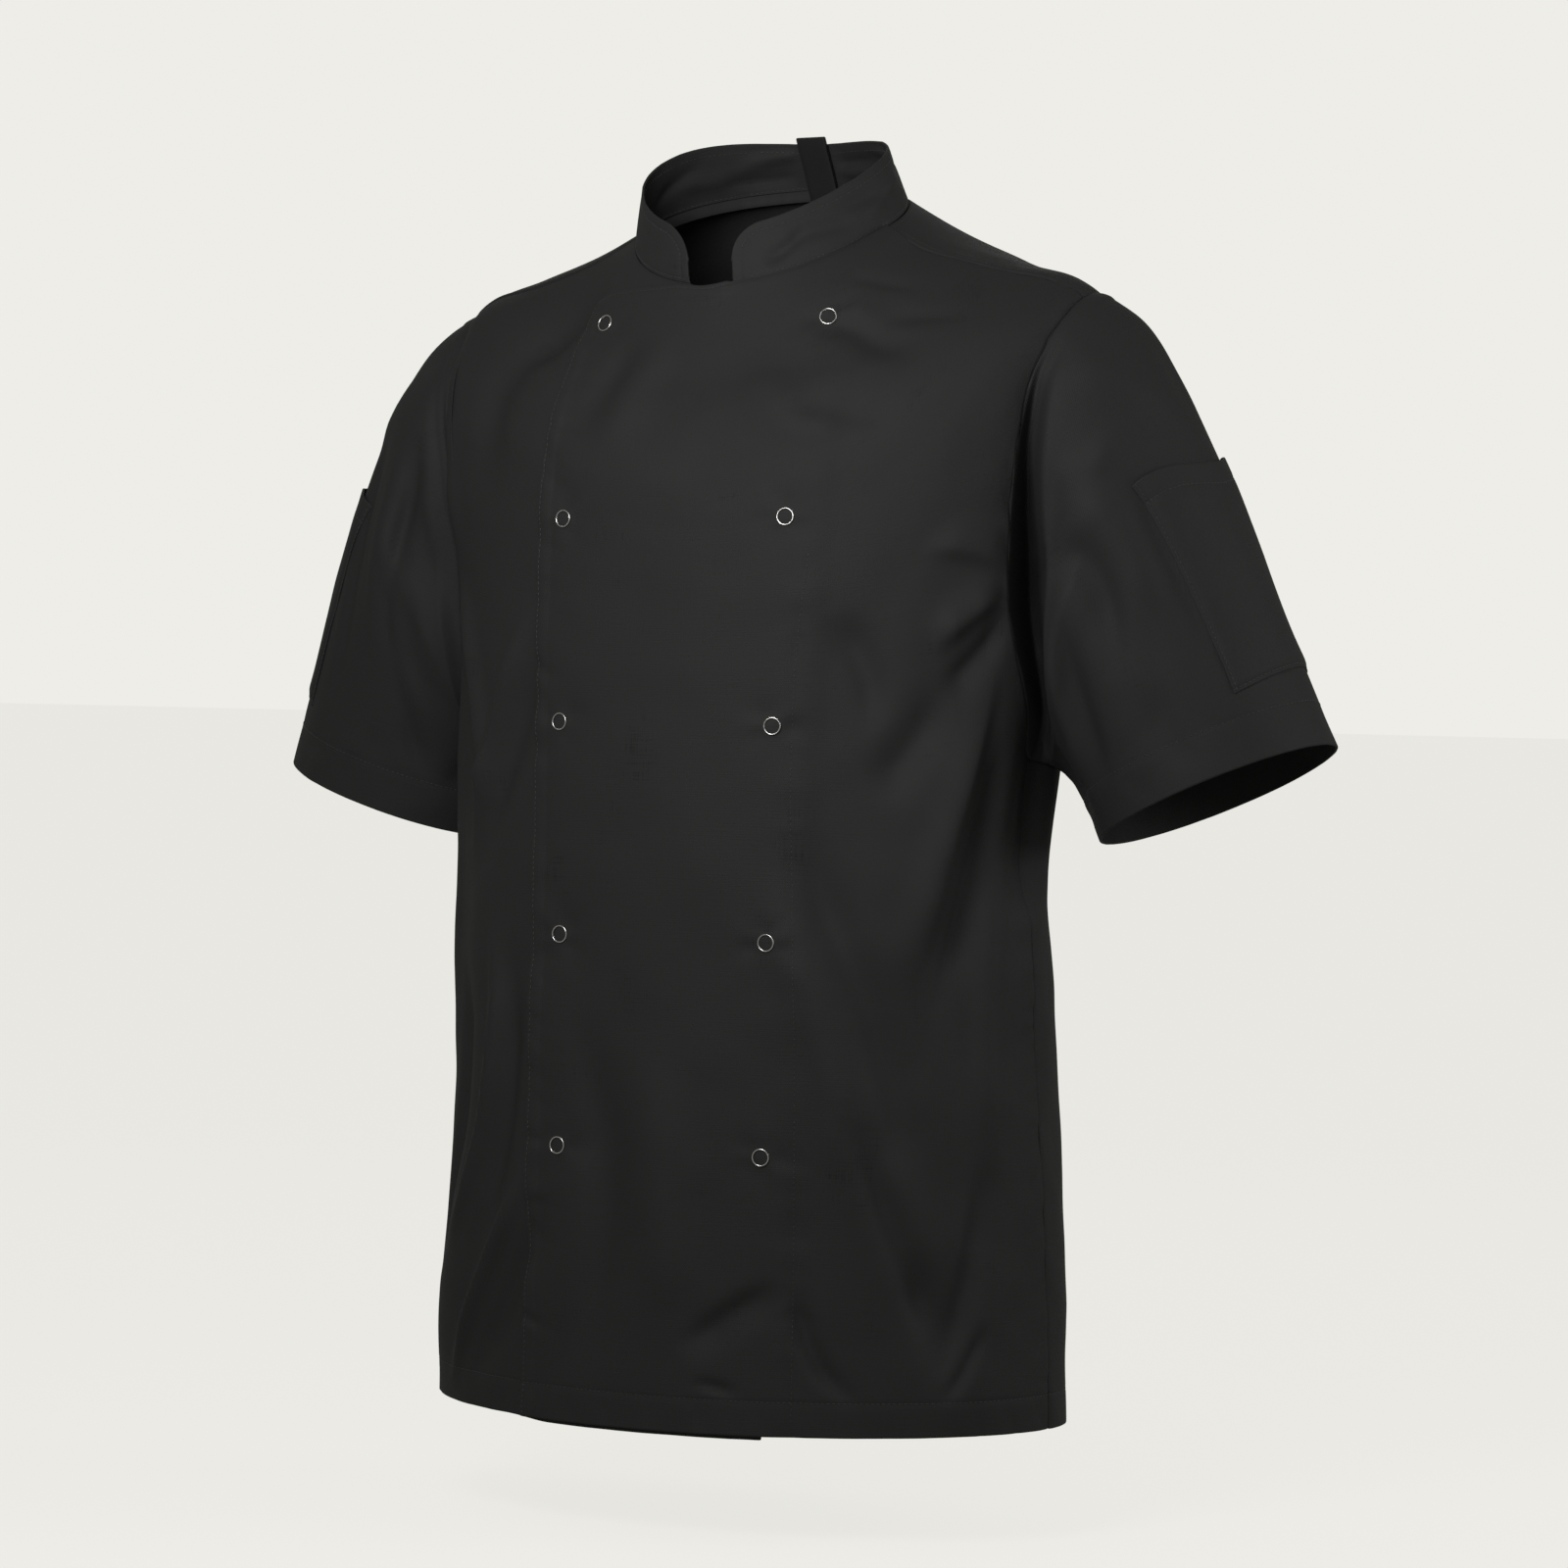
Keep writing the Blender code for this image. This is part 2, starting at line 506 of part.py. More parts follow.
def build_loop():
    """A tape folded in two that stands inside the back of the collar and a little above it."""
    grid = collar_grid()
    middle = NECK_CELLS + BACK_NECK_CELLS
    foot, edge = grid[0, middle], grid[-1, middle]
    up = unit(edge - foot)
    out = np.cross(np.array([-1.0, 0, 0]), up)
    height = np.linalg.norm(edge - foot)
    near = -LAYER_GAP - LOOP_EASE - LOOP_TAPE
    far = near - LOOP_SLIT - LOOP_TAPE
    bend = (far - near) / 2
    turn = np.linspace(0, np.pi, 7)[1:-1]
    path = [(near, -LOOP_BELOW), (near, height + LOOP_ABOVE + bend)]
    path += [(near + bend - bend * np.cos(a), height + LOOP_ABOVE + bend - bend * np.sin(a)) for a in turn]
    path += [(far, height + LOOP_ABOVE + bend), (far, -LOOP_BELOW)]
    line = np.array([foot + out * off + up * rise for off, rise in path])
    side = np.array([LOOP_WIDTH / 2, 0, 0])
    cloth("hang_loop", np.stack([line + side, line - side], axis=1), LOOP_TAPE)


# Snaps ------------------------------------------------------------------------------------------
def build_snaps():
    for row, (height, right_distance, left_distance) in enumerate(SNAP_ROWS, 1):
        for side, distance in (("right", -right_distance * MM), ("left", left_distance * MM)):
            level = level_at(distance, height * MM)
            angle = angle_at(distance, level)
            lift = upper_lift(angle, level) + CLOTH + SNAP_GAP + SNAP_WIRE
            outward = mathutils.Vector(body_normal(angle, level))
            bpy.ops.mesh.primitive_torus_add(
                location=tilted(on_body(angle, level, lift)),
                rotation=outward.to_track_quat("Z", "Y").to_euler(),
                major_radius=SNAP_RING,
                minor_radius=SNAP_WIRE,
                major_segments=18,
                minor_segments=6,
            )
            ring = bpy.context.object
            ring.name = f"snap_{row}_{side}"
            ring.data.name = ring.name
            ring.data.materials.append(material(ring.name, (0.72, 0.72, 0.70), 0.25, 1.0))
            ring.data.shade_smooth()
            for collection in list(ring.users_collection):
                collection.objects.unlink(ring)
            jacket.objects.link(ring)


for old in list(bpy.data.objects):
    bpy.data.objects.remove(old)
jacket = bpy.data.collections.new("chef_jacket")
bpy.context.scene.collection.children.link(jacket)

build_fronts()
build_back()
build_sleeves()
build_pockets()
build_collar()
build_loop()
build_snaps()
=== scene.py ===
"""Short-sleeved double-breasted chef jacket, in the hollow shape it has when it is worn.

Metres, +Z up, the front faces -Y and the wearer's left is +X. The body is one form from the hem to
the collar seam, measured by an angle round it (0 at the wearer's left side, 90 at the middle of the
back, -90 at the middle of the front) and a level up it (0 at the hem, 1 at the collar seam).
"""

import bpy
import numpy as np
from mathutils import Matrix, Vector


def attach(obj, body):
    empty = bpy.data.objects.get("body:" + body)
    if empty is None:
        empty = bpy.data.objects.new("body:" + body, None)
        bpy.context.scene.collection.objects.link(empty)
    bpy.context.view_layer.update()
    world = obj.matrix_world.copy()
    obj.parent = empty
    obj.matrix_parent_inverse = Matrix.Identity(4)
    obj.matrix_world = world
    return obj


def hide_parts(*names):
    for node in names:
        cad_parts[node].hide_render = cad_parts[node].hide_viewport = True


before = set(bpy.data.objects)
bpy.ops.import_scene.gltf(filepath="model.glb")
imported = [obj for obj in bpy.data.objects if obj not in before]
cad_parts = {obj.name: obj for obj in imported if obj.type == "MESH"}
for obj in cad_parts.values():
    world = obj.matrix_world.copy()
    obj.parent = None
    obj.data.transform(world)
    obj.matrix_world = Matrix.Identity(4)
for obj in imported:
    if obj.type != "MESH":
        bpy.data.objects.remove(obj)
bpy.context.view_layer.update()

MM = 0.001

# Right front ------------------------------------------------------------------------------------
# The lower of the two fronts, which the left one laps over. Black polyester-cotton twill with a
# turned and faced front edge, seamed to the back at the side and the shoulder, and hemmed below.
CLOTH_WALL = 1.5 * MM  # from the body form to the outside of the cloth
CLOTH_THICK, HEM_THICK = 0.9 * MM, 1.5 * MM
HEM_DEPTH = 20  # millimetres
# level, half width, y at the front, side and back, z at the front, side and back, tilt
SECTIONS = (
    (0.00, 208, -126, 6, 138, -734, -731, -732, 0),
    (0.18, 202, -122, 3, 129, -600, -600, -600, 0),
    (0.34, 196, -119, -3, 115, -470, -470, -470, 0),
    (0.44, 194, -118, -2, 113, -392, -394, -392, 0),
    (0.51, 198, -116, 4, 119, -330, -332, -330, 0),
    (0.61, 209, -113, 15, 128, -250, -228, -245, 0),
    (0.70, 221, -110, 25, 130, -195, -140, -170, 0),
    (0.78, 223, -104, 28, 126, -158, -64, -104, 0),
    (0.84, 200, -93, 25, 118, -127, -41, -66, 2),
    (0.89, 166, -81, 21, 108, -104, -32, -34, 8),
    (0.945, 124, -70, 15, 94, -74, -18, 0, 20),
    (1.00, 88, -61, 8, 78, -44, -3, 23, 31),
)
ARC_PER_DEGREE, LEVEL_HEIGHT = 3.2, 760  # millimetres of cloth for one degree and for one level
SHOULDER_TILT = 0.02
TILT_FROM, TILT_TO = -350 * MM, -100 * MM
PIT_LEVEL = 0.51
SIDE_SEAM_ANGLE = -1.0
SEAM_GAP = 0.4 * MM
SHOULDER_SEAM = (  # share of the way from the neck to the armhole, angle, level
    (0.00, -11, 1.000),
    (0.22, -16, 0.955),
    (0.42, -15, 0.916),
    (0.70, -12, 0.862),
    (1.00, -8, 0.804),
)
ARMHOLE = (  # share of the way round from the pit over the front, angle, level
    (0.00, -1.0, 0.510),
    (0.09, -15.0, 0.554),
    (0.17, -23.5, 0.602),
    (0.24, -27.0, 0.652),
    (0.33, -28.5, 0.716),
    (0.41, -25.5, 0.763),
    (0.46, -18.5, 0.787),
    (0.51, -8.0, 0.804),
    (0.56, 5.0, 0.806),
    (0.62, 17.0, 0.785),
    (0.69, 25.0, 0.740),
    (0.77, 27.5, 0.680),
    (0.86, 25.0, 0.612),
    (0.94, 13.0, 0.548),
    (1.00, -1.0, 0.510),
)
SHOULDER_SHARE = 0.51
FRONT_SHARES = np.concatenate(
    [np.linspace(0, 0.375, 11), np.linspace(0.375, SHOULDER_SHARE, 5)[1:]]
)
UNDERLAP_EDGE = ((0.00, 76), (0.45, 80), (0.72, 84), (0.93, 86))  # level, millimetres off middle
LAP_TOP_HEIGHT = -48 * MM
RIGHT_COLLAR_END = 20 * MM
ROWS_BELOW, ROWS_ABOVE = 16, 14
LAP_CELLS, NECK_CELLS, SHOULDER_CELLS = 6, 7, 7
RELAX_STEPS = 60
# from angle and level, to angle and level, width and height in millimetres
BROAD_FOLDS = (
    (-32, 0.540, -50, 0.330, 34, 4.5),
    (-16, 0.460, -30, 0.280, 30, -4.0),
    (-60, 0.400, -44, 0.060, 34, 3.5),
    (-26, 0.180, -28, 0.010, 32, 3.5),
    (-128, 0.520, -142, 0.330, 32, 3.5),
    (-134, 0.200, -154, 0.030, 32, 4.0),
    (40, 0.600, 60, 0.400, 34, 4.0),
    (140, 0.580, 118, 0.380, 34, 4.0),
    (64, 0.330, 72, 0.040, 36, -4.0),
    (112, 0.260, 106, 0.030, 36, 3.5),
    (22, 0.380, 30, 0.100, 32, 3.0),
    (156, 0.400, 150, 0.120, 32, -3.0),
    (0, 0.560, -3, 0.410, 32, -12.0),
    (-144, 0.960, -146, 0.760, 36, -7.0),
)
# from angle and level, to angle and level, bend, width before and after the line, height
BODY_CREASES = (
    (-25.5, 0.555, -39.5, 0.355, 2, 17, 7, 8.6),
    (-20, 0.520, -33, 0.330, 2, 9, 16, -7.0),
    (-27, 0.612, -40, 0.585, 0, 12, 6, 5.5),
    (-24, 0.595, -37, 0.555, 2, 7, 10, -4.7),
    (-44, 0.652, -26, 0.630, 2, 6, 12, 3.9),
    (-37, 0.552, -49, 0.492, 3, 12, 14, -5.5),
    (-60, 0.605, -50, 0.535, 4, 9, 11, -4.3),
    (-16, 0.440, -21, 0.220, -6, 12, 15, 5.5),
    (-64, 0.460, -40, 0.190, 8, 12, 18, -6.2),
    (-68, 0.420, -50, 0.170, 6, 14, 15, 4.3),
    (-53, 0.250, -35, 0.060, 3, 9, 14, -7.8),
    (-46, 0.230, -40, 0.120, 2, 11, 14, 4.3),
    (-23, 0.210, -35, 0.045, 3, 9, 13, -7.0),
    (-62, 0.115, -53, 0.030, -8, 4, 6, -4.3),
    (-24, 0.090, -33.5, 0.030, 2, 4, 5, -4.3),
    (-82, 0.068, -66, 0.120, 2, 12, 7, -5.1),
    (-80, 0.040, -73, 0.032, 1, 3, 4, -2.5),
    (-91, 0.290, -86, 0.080, 3, 16, 18, 5.5),
    (-105, 0.310, -103, 0.040, 15, 12, 18, -6.6),
    (-70, 0.835, -54, 0.765, 3, 10, 14, -2.4),
    (-47, 0.905, -34, 0.850, 3, 9, 12, -2.0),
    (-44, 0.960, -33, 0.915, 2, 6, 9, -1.6),
    (-58, 0.940, -48, 0.830, 4, 12, 14, -4.3),
    (-78, 0.900, -66, 0.780, -4, 15, 16, 2.9),
    (-103, 0.935, -104, 0.790, 0, 14, 16, 4.3),
    (-112.5, 0.930, -109, 0.800, 3, 13, 15, -4.6),
    (-139, 0.940, -136, 0.700, 3, 22, 25, -12.7),
    (-156, 0.800, -150, 0.640, 3, 12, 14, 5.5),
    (-121.5, 0.605, -144, 0.450, 0, 5, 9, 6.6),
    (-117, 0.590, -137, 0.440, 2, 9, 12, -4.7),
    (-149, 0.625, -137, 0.480, 3, 10, 11, 6.2),
    (-131, 0.370, -142, 0.145, 18, 7, 8, 7.0),
    (-124.5, 0.350, -131, 0.140, 9, 8, 10, -5.9),
    (-117, 0.205, -140, 0.025, 1, 6, 6, 7.0),
    (-112, 0.180, -131, 0.025, 2, 8, 10, -4.7),
    (-145, 0.340, -152, 0.120, 6, 9, 12, -5.5),
    (-158, 0.560, -156, 0.300, -5, 12, 14, 4.7),
    (-172, 0.420, -168, 0.080, 6, 14, 16, -5.9),
    (28, 0.610, 46, 0.520, -6, 8, 14, 6.6),
    (24, 0.560, 44, 0.440, 8, 12, 18, -6.2),
    (152, 0.600, 134, 0.500, 6, 8, 13, 6.6),
    (156, 0.550, 138, 0.420, -8, 12, 17, -6.2),
    (70, 0.480, 84, 0.440, 5, 10, 12, 3.9),
    (98, 0.420, 122, 0.370, -6, 12, 12, 4.3),
    (60, 0.200, 84, 0.120, 8, 12, 16, 5.1),
    (88, 0.300, 92, 0.060, 6, 14, 20, -5.9),
    (52, 0.260, 40, 0.060, -8, 12, 20, 5.9),
    (134, 0.240, 140, 0.030, 7, 12, 18, 5.9),
    (76, 0.930, 104, 0.930, 4, 9, 11, -2.9),
    (60, 0.850, 66, 0.760, 6, 16, 14, -4.7),
    (118, 0.840, 112, 0.750, -6, 14, 16, -4.3),
)


def cubic(t, start, leave, end, arrive):
    """Cubic from start to end, for t from 0 to 1, that leaves and arrives with these slopes."""
    return (
        (1 + 2 * t) * (1 - t) ** 2 * start
        + t * (1 - t) ** 2 * leave
        + t**2 * (3 - 2 * t) * end
        + t**2 * (t - 1) * arrive
    )


def smooth_table(rows, places):
    """Columns of a table at any place of its first one. Between two rows runs a cubic whose slope
    at each row is the mean of the slopes on its two sides, weighted by the other side's length."""
    table = np.array(rows, float)
    knots, values = table[:, 0], table[:, 1:]
    steps = np.diff(knots)[:, None]
    slopes = np.diff(values, axis=0) / steps
    middle = (slopes[:-1] * steps[1:] + slopes[1:] * steps[:-1]) / (steps[:-1] + steps[1:])
    tangents = np.concatenate([slopes[:1], middle, slopes[-1:]])
    places = np.asarray(places, float)
    spot = np.clip(np.searchsorted(knots, places, side="right") - 1, 0, len(knots) - 2)
    width = steps[spot]
    t = (places - knots[spot])[..., None] / width
    leave, arrive = width * tangents[spot], width * tangents[spot + 1]
    return cubic(t, values[spot], leave, values[spot + 1], arrive)


def ease(value):
    """0 below 0, 1 above 1, and three squares less two cubes between them."""
    value = np.clip(value, 0, 1)
    return value * value * (3 - 2 * value)


def unit(vectors):
    """Each vector over its length."""
    return vectors / np.maximum(np.linalg.norm(vectors, axis=-1, keepdims=True), 1e-12)


def pairs(first, second):
    """The two runs side by side, as points of two numbers."""
    return np.stack(np.broadcast_arrays(first, second), axis=-1).astype(float)


def body_form(angle, level):
    """Each level is two half ellipses, x as the cosine of the angle and y as its sine, whose
    height runs with the sine, times the level's tilt, and with the square of the sine."""
    angle, level = np.broadcast_arrays(np.asarray(angle, float), np.asarray(level, float))
    half_width, front_y, side_y, back_y, front_z, side_z, back_z, tilt = np.moveaxis(
        smooth_table(SECTIONS, level) * MM, -1, 0
    )
    across, along = np.cos(np.radians(angle)), np.sin(np.radians(angle))
    end_y = np.where(along < 0, front_y, back_y)
    end_z = np.where(along < 0, front_z + tilt, back_z - tilt)
    reach = np.abs(along)
    height = side_z + tilt * along + (end_z - side_z) * reach**2
    return np.stack([half_width * across, side_y + (end_y - side_y) * reach, height], axis=-1)


def body_outward(angle, level):
    """Cross product of the form's change with the angle and its change with the level."""
    level = np.clip(level, 0.002, 0.998)
    round_it = body_form(angle + 0.2, level) - body_form(angle - 0.2, level)
    up_it = body_form(angle, level + 0.002) - body_form(angle, level - 0.002)
    return unit(np.cross(round_it, up_it))


NOISE_CELLS = 97


def soft_noise(across, up, size, seed):
    """Uneven height between -1 and 1: seeded values on a square lattice of that size, joined by
    the ease curve both ways."""
    lattice = np.random.default_rng(seed).uniform(-1, 1, (NOISE_CELLS, NOISE_CELLS))
    x, y = np.asarray(across) / size + 31.5, np.asarray(up) / size + 17.5
    column, row = np.floor(x).astype(int), np.floor(y).astype(int)
    s, t = ease(x - column), ease(y - row)
    left, right = column % NOISE_CELLS, (column + 1) % NOISE_CELLS
    low, high = row % NOISE_CELLS, (row + 1) % NOISE_CELLS
    below = lattice[low, left] * (1 - s) + lattice[low, right] * s
    above = lattice[high, left] * (1 - s) + lattice[high, right] * s
    return below * (1 - t) + above * t


def uneven_cloth(across, up, layers):
    """Millimetres of unevenness: each layer's height times noise, squeezed upwards by a share."""
    return sum(
        height * soft_noise(across, up * squeeze, size, seed)
        for height, squeeze, size, seed in layers
    )


def crease_height(across, up, creases, lengths=(1, 1), overrun=0.12, fade=0.45):
    """Metres outwards, the sum of ridges and troughs: height times exp(-q squared), q the distance
    off the crease's line, less a parabola for its bend, over the width on that side. Each fades
    past both its ends. across and up are millimetres of cloth, and lengths are how many of them
    one unit of the table's ends has."""
    total = np.zeros(np.shape(across))
    for from_across, from_up, to_across, to_up, bend, width_before, width_after, height in creases:
        run = np.array([to_across - from_across, to_up - from_up]) * lengths
        length = np.linalg.norm(run)
        over, rise = across - from_across * lengths[0], up - from_up * lengths[1]
        along = (over * run[0] + rise * run[1]) / length**2
        inside = np.clip(along, 0, 1)
        off = (rise * run[0] - over * run[1]) / length - bend * 4 * inside * (1 - inside)
        ends = ease((along + overrun) / fade) * ease((1 + overrun - along) / fade)
        width = np.where(off < 0, width_before, width_after)
        total += height * MM * np.exp(-((off / width) ** 2)) * ends
    return total


def body_folds(angle, level):
    """Every fold of the body, in metres outwards: broad folds, creases and unevenness."""
    turned = (np.asarray(angle, float) + 180) % 360 - 180
    lengths = (ARC_PER_DEGREE, LEVEL_HEIGHT)
    across, up = turned * ARC_PER_DEGREE, np.asarray(level, float) * LEVEL_HEIGHT
    broad = [(*row[:4], 0, row[4], *row[4:]) for row in BROAD_FOLDS]
    folds = crease_height(across, up, broad, lengths, 0.15, 0.4)
    folds = folds + crease_height(across, up, BODY_CREASES, lengths)
    uneven = uneven_cloth(across, up, ((1.5, 0.7, 95, 3), (1.1, 0.8, 41, 4), (0.4, 0.9, 19, 5)))
    calm = ease((level - 0.02) / 0.08) * ease((0.97 - level) / 0.1)
    return folds + uneven * MM * calm


def tilted(points):
    """The wearer's left shoulder is the higher one: height grows with x above the chest."""
    share = ease((points[..., 2] - TILT_FROM) / (TILT_TO - TILT_FROM))
    return points + (SHOULDER_TILT * points[..., 0] * share)[..., None] * np.array([0, 0, 1.0])


def angle_at(distance, level):
    """Angle on the front where the section at this level is that far from the middle."""
    half_width = smooth_table(SECTIONS, level)[..., 0] * MM
    return -np.degrees(np.arccos(np.clip(distance / half_width, -1, 1)))


def level_at(distance, height):
    """Level of the front at this distance from the middle and this height, by halving."""
    low, high = np.zeros(np.shape(distance)), np.ones(np.shape(distance))
    for _ in range(40):
        middle = (low + high) / 2
        below = body_form(angle_at(distance, middle), middle)[..., 2] < height
        low, high = np.where(below, middle, low), np.where(below, high, middle)
    return (low + high) / 2


def armhole(share):
    """Angle and level of the armhole at a share of the way round it."""
    return np.moveaxis(smooth_table(ARMHOLE, share), -1, 0)


def patch(bottom, outer, top, inner):
    """Fills four edges with a grid, the mean of the two ruled ways less the corners, then relaxes
    it: each point is the mean of its neighbours, weighted by the squares of its cell's lengths."""
    columns = np.linspace(0, 1, bottom.shape[0])[None, :, None]
    rows = np.linspace(0, 1, outer.shape[0])[:, None, None]
    ruled = (1 - rows) * bottom[None] + rows * top[None]
    sides = (1 - columns) * inner[:, None] + columns * outer[:, None]
    corners = (1 - rows) * ((1 - columns) * bottom[0] + columns * bottom[-1]) + rows * (
        (1 - columns) * top[0] + columns * top[-1]
    )
    lengths = np.array([ARC_PER_DEGREE, LEVEL_HEIGHT])
    grid = (ruled + sides - corners) * lengths
    for _ in range(RELAX_STEPS):
        below, above, left, right = grid[:-2, 1:-1], grid[2:, 1:-1], grid[1:-1, :-2], grid[1:-1, 2:]
        across, up = (right - left) / 2, (above - below) / 2
        up_weight = np.sum(up**2, axis=-1, keepdims=True)
        across_weight = np.sum(across**2, axis=-1, keepdims=True)
        slant = np.sum(across * up, axis=-1, keepdims=True)
        twist = (grid[2:, 2:] - grid[2:, :-2] - grid[:-2, 2:] + grid[:-2, :-2]) / 2
        total = up_weight * (left + right) + across_weight * (below + above) - slant * twist
        grid[1:-1, 1:-1] = total / (2 * (up_weight + across_weight))
    return grid / lengths


def outer_edge(shares, side):
    """Up the side seam and round a part of the armhole, half a seam gap from the seam."""
    below = pairs(SIDE_SEAM_ANGLE, np.linspace(0, PIT_LEVEL, ROWS_BELOW + 1))
    edge = np.concatenate([below, pairs(*armhole(shares[1:]))])
    edge[:, 0] += side * SEAM_GAP / 2 / MM / ARC_PER_DEGREE
    return edge


def shoulder_edge(outer_corner, side):
    """Along the shoulder seam from the neck, a seam gap to one side of it, to the outer corner."""
    edge = smooth_table(SHOULDER_SEAM, np.linspace(0, 1, SHOULDER_CELLS + 1))
    edge[:, 0] += side * SEAM_GAP / MM / ARC_PER_DEGREE
    edge[-1] = outer_corner
    return edge


def neck_angles(end_angle):
    """Even angles along the neck, from a front's end to the shoulder seam."""
    return np.linspace(end_angle, SHOULDER_SEAM[0][1], NECK_CELLS + 1)


def front_lattice(edge_table, collar_end):
    """(angle, level) lattice of a front, from its edge to the side seam and from hem to neck."""
    edge_distance = smooth_table(edge_table, 0.93)[0] * MM
    top_level = level_at(-edge_distance, LAP_TOP_HEIGHT)
    above = np.linspace(PIT_LEVEL, top_level, len(FRONT_SHARES))[1:]
    edge_levels = np.concatenate([np.linspace(0, PIT_LEVEL, ROWS_BELOW + 1), above])
    edge_distances = smooth_table(edge_table, edge_levels)[:, 0] * MM
    inner = pairs(angle_at(-edge_distances, edge_levels), edge_levels)
    outer = outer_edge(FRONT_SHARES, -1)
    end_angle = angle_at(collar_end, 1.0)
    lap_distance = np.linspace(-edge_distance, collar_end, LAP_CELLS + 1)[:-1]
    lap_height = np.linspace(LAP_TOP_HEIGHT, body_form(end_angle, 1.0)[2], LAP_CELLS + 1)[:-1]
    lap_level = np.minimum(level_at(lap_distance, lap_height), 0.995)
    lap_top = pairs(angle_at(lap_distance, lap_level), lap_level)
    lap_top[0] = inner[-1]
    neck = pairs(neck_angles(end_angle)[:-1], 1.0)
    top = np.concatenate([lap_top, neck, shoulder_edge(outer[-1], -1)])
    bottom = pairs(np.linspace(inner[0, 0], outer[0, 0], len(top)), 0.0)
    return patch(bottom, outer, top, inner)


def between(breaks, places):
    """Weights that read a run of points at in-between places, on a cubic through the four
    nearest, begun anew at each break, where the run may have a corner."""
    weights = np.zeros((len(places), breaks[-1] + 1))
    for first, last in zip(breaks, breaks[1:]):
        inside = (places >= first) & ((places < last) | (last == breaks[-1]))
        spots = places[inside] - first
        spot = np.clip(spots.astype(int), 0, last - first - 1)
        t, line = spots - spot, np.arange(len(spots))
        four = np.zeros((len(spots), last - first + 3))
        four[line, spot] = t * (-0.5 + t - 0.5 * t**2)
        four[line, spot + 1] = 1 - 2.5 * t**2 + 1.5 * t**3
        four[line, spot + 2] = t * (0.5 + 2 * t - 1.5 * t**2)
        four[line, spot + 3] = t**2 * (t - 1) / 2
        four[:, 1] += 2 * four[:, 0]
        four[:, 2] -= four[:, 0]
        four[:, -2] += 2 * four[:, -1]
        four[:, -3] -= four[:, -1]
        weights[inside, first : last + 1] = four[:, 1:-1]
    return weights


def stations(cells, per_cell, cell_length, near_start, near_end):
    """Places of grid lines over a run of cells: even ones, and extra ones at these distances in
    millimetres from its start and its end."""
    run = cells * cell_length
    extra = np.concatenate([[0], near_start, run - np.array(near_end), [run]])
    even = np.linspace(0, cells, cells * per_cell + 1) * cell_length
    apart = np.abs(even[:, None] - extra[None, :]).min(axis=1) > 1.0
    return np.sort(np.concatenate([even[apart], extra])) / cell_length


def run_lengths(points):
    """Distance from the first column along each row, and from the first row up each column."""
    across = np.zeros(points.shape[:2])
    across[:, 1:] = np.cumsum(np.linalg.norm(np.diff(points, axis=1), axis=-1), axis=1)
    up = np.zeros(points.shape[:2])
    up[1:] = np.cumsum(np.linalg.norm(np.diff(points, axis=0), axis=-1), axis=0)
    return across, up


def grid_outward(points, closed=False):
    """Normal of a grid: its change along the row times its change up the column."""
    wide = np.concatenate([points[:, -1:], points, points[:, :1]], axis=1) if closed else points
    across = np.gradient(wide, axis=1)
    if closed:
        across = across[:, 1:-1]
    return unit(np.cross(across, np.gradient(points, axis=0)))


def groove(distance, place, depth=0.3, width=1.1):
    """A stitch line draws the cloth in: a narrow trough, in millimetres, at that distance."""
    return -depth * np.exp(-(((distance / MM - place) / width) ** 2))


def seam_groove(distance):
    """A seam draws the cloth in deeper and wider than a line of stitches does."""
    return groove(distance, 0, 0.5, 1.6)


def puckers(run, distance, pitch, band, height, seed):
    """Small uneven ripples along an edge that is sewn, fading away from it over the band."""
    ripple = soft_noise(run / MM, distance / MM * 0.35, pitch, seed) + 0.5 * soft_noise(
        run / MM + distance / MM * 0.5, 0, pitch * 0.55, seed + 1
    )
    return height * ripple * np.exp(-((distance / MM / band) ** 2))


def strokes(run, distance, pitch, band, depth, seed):
    """Short sharp creases across a sewn edge: a narrow trough wherever a ripple along the edge
    passes zero, some of them deeper than others, fading over the band."""
    ripple = soft_noise(run / MM + 0.3 * distance / MM, distance / MM * 0.2, pitch, seed)
    uneven = 0.6 + 0.4 * soft_noise(run / MM, 0, pitch * 1.7, seed + 1)
    return -depth * uneven * np.exp(-((ripple / 0.2) ** 2)) * np.exp(-((distance / MM / band) ** 2))


def new_piece(name, points, faces, material):
    """A smooth mesh of these points and faces, which moves with the part's only body."""
    mesh = bpy.data.meshes.new(name)
    mesh.from_pydata(points, [], faces)
    mesh.materials.append(material)
    mesh.shade_smooth()
    piece = bpy.data.objects.new(name, mesh)
    bpy.context.scene.collection.objects.link(piece)
    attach(piece, "root")
    return piece


def quads(grid):
    """The four corners of each cell of a grid of numbers, anticlockwise."""
    corners = [grid[:-1, :-1], grid[:-1, 1:], grid[1:, 1:], grid[1:, :-1]]
    return np.stack(corners, axis=-1).reshape(-1, 4)


def rim(grid):
    """The numbers along a grid's four edges, once round and back to the first."""
    edges = [grid[0, :-1], grid[:-1, -1], grid[-1, :0:-1], grid[:0:-1, 0], grid[0, :1]]
    return np.concatenate(edges)


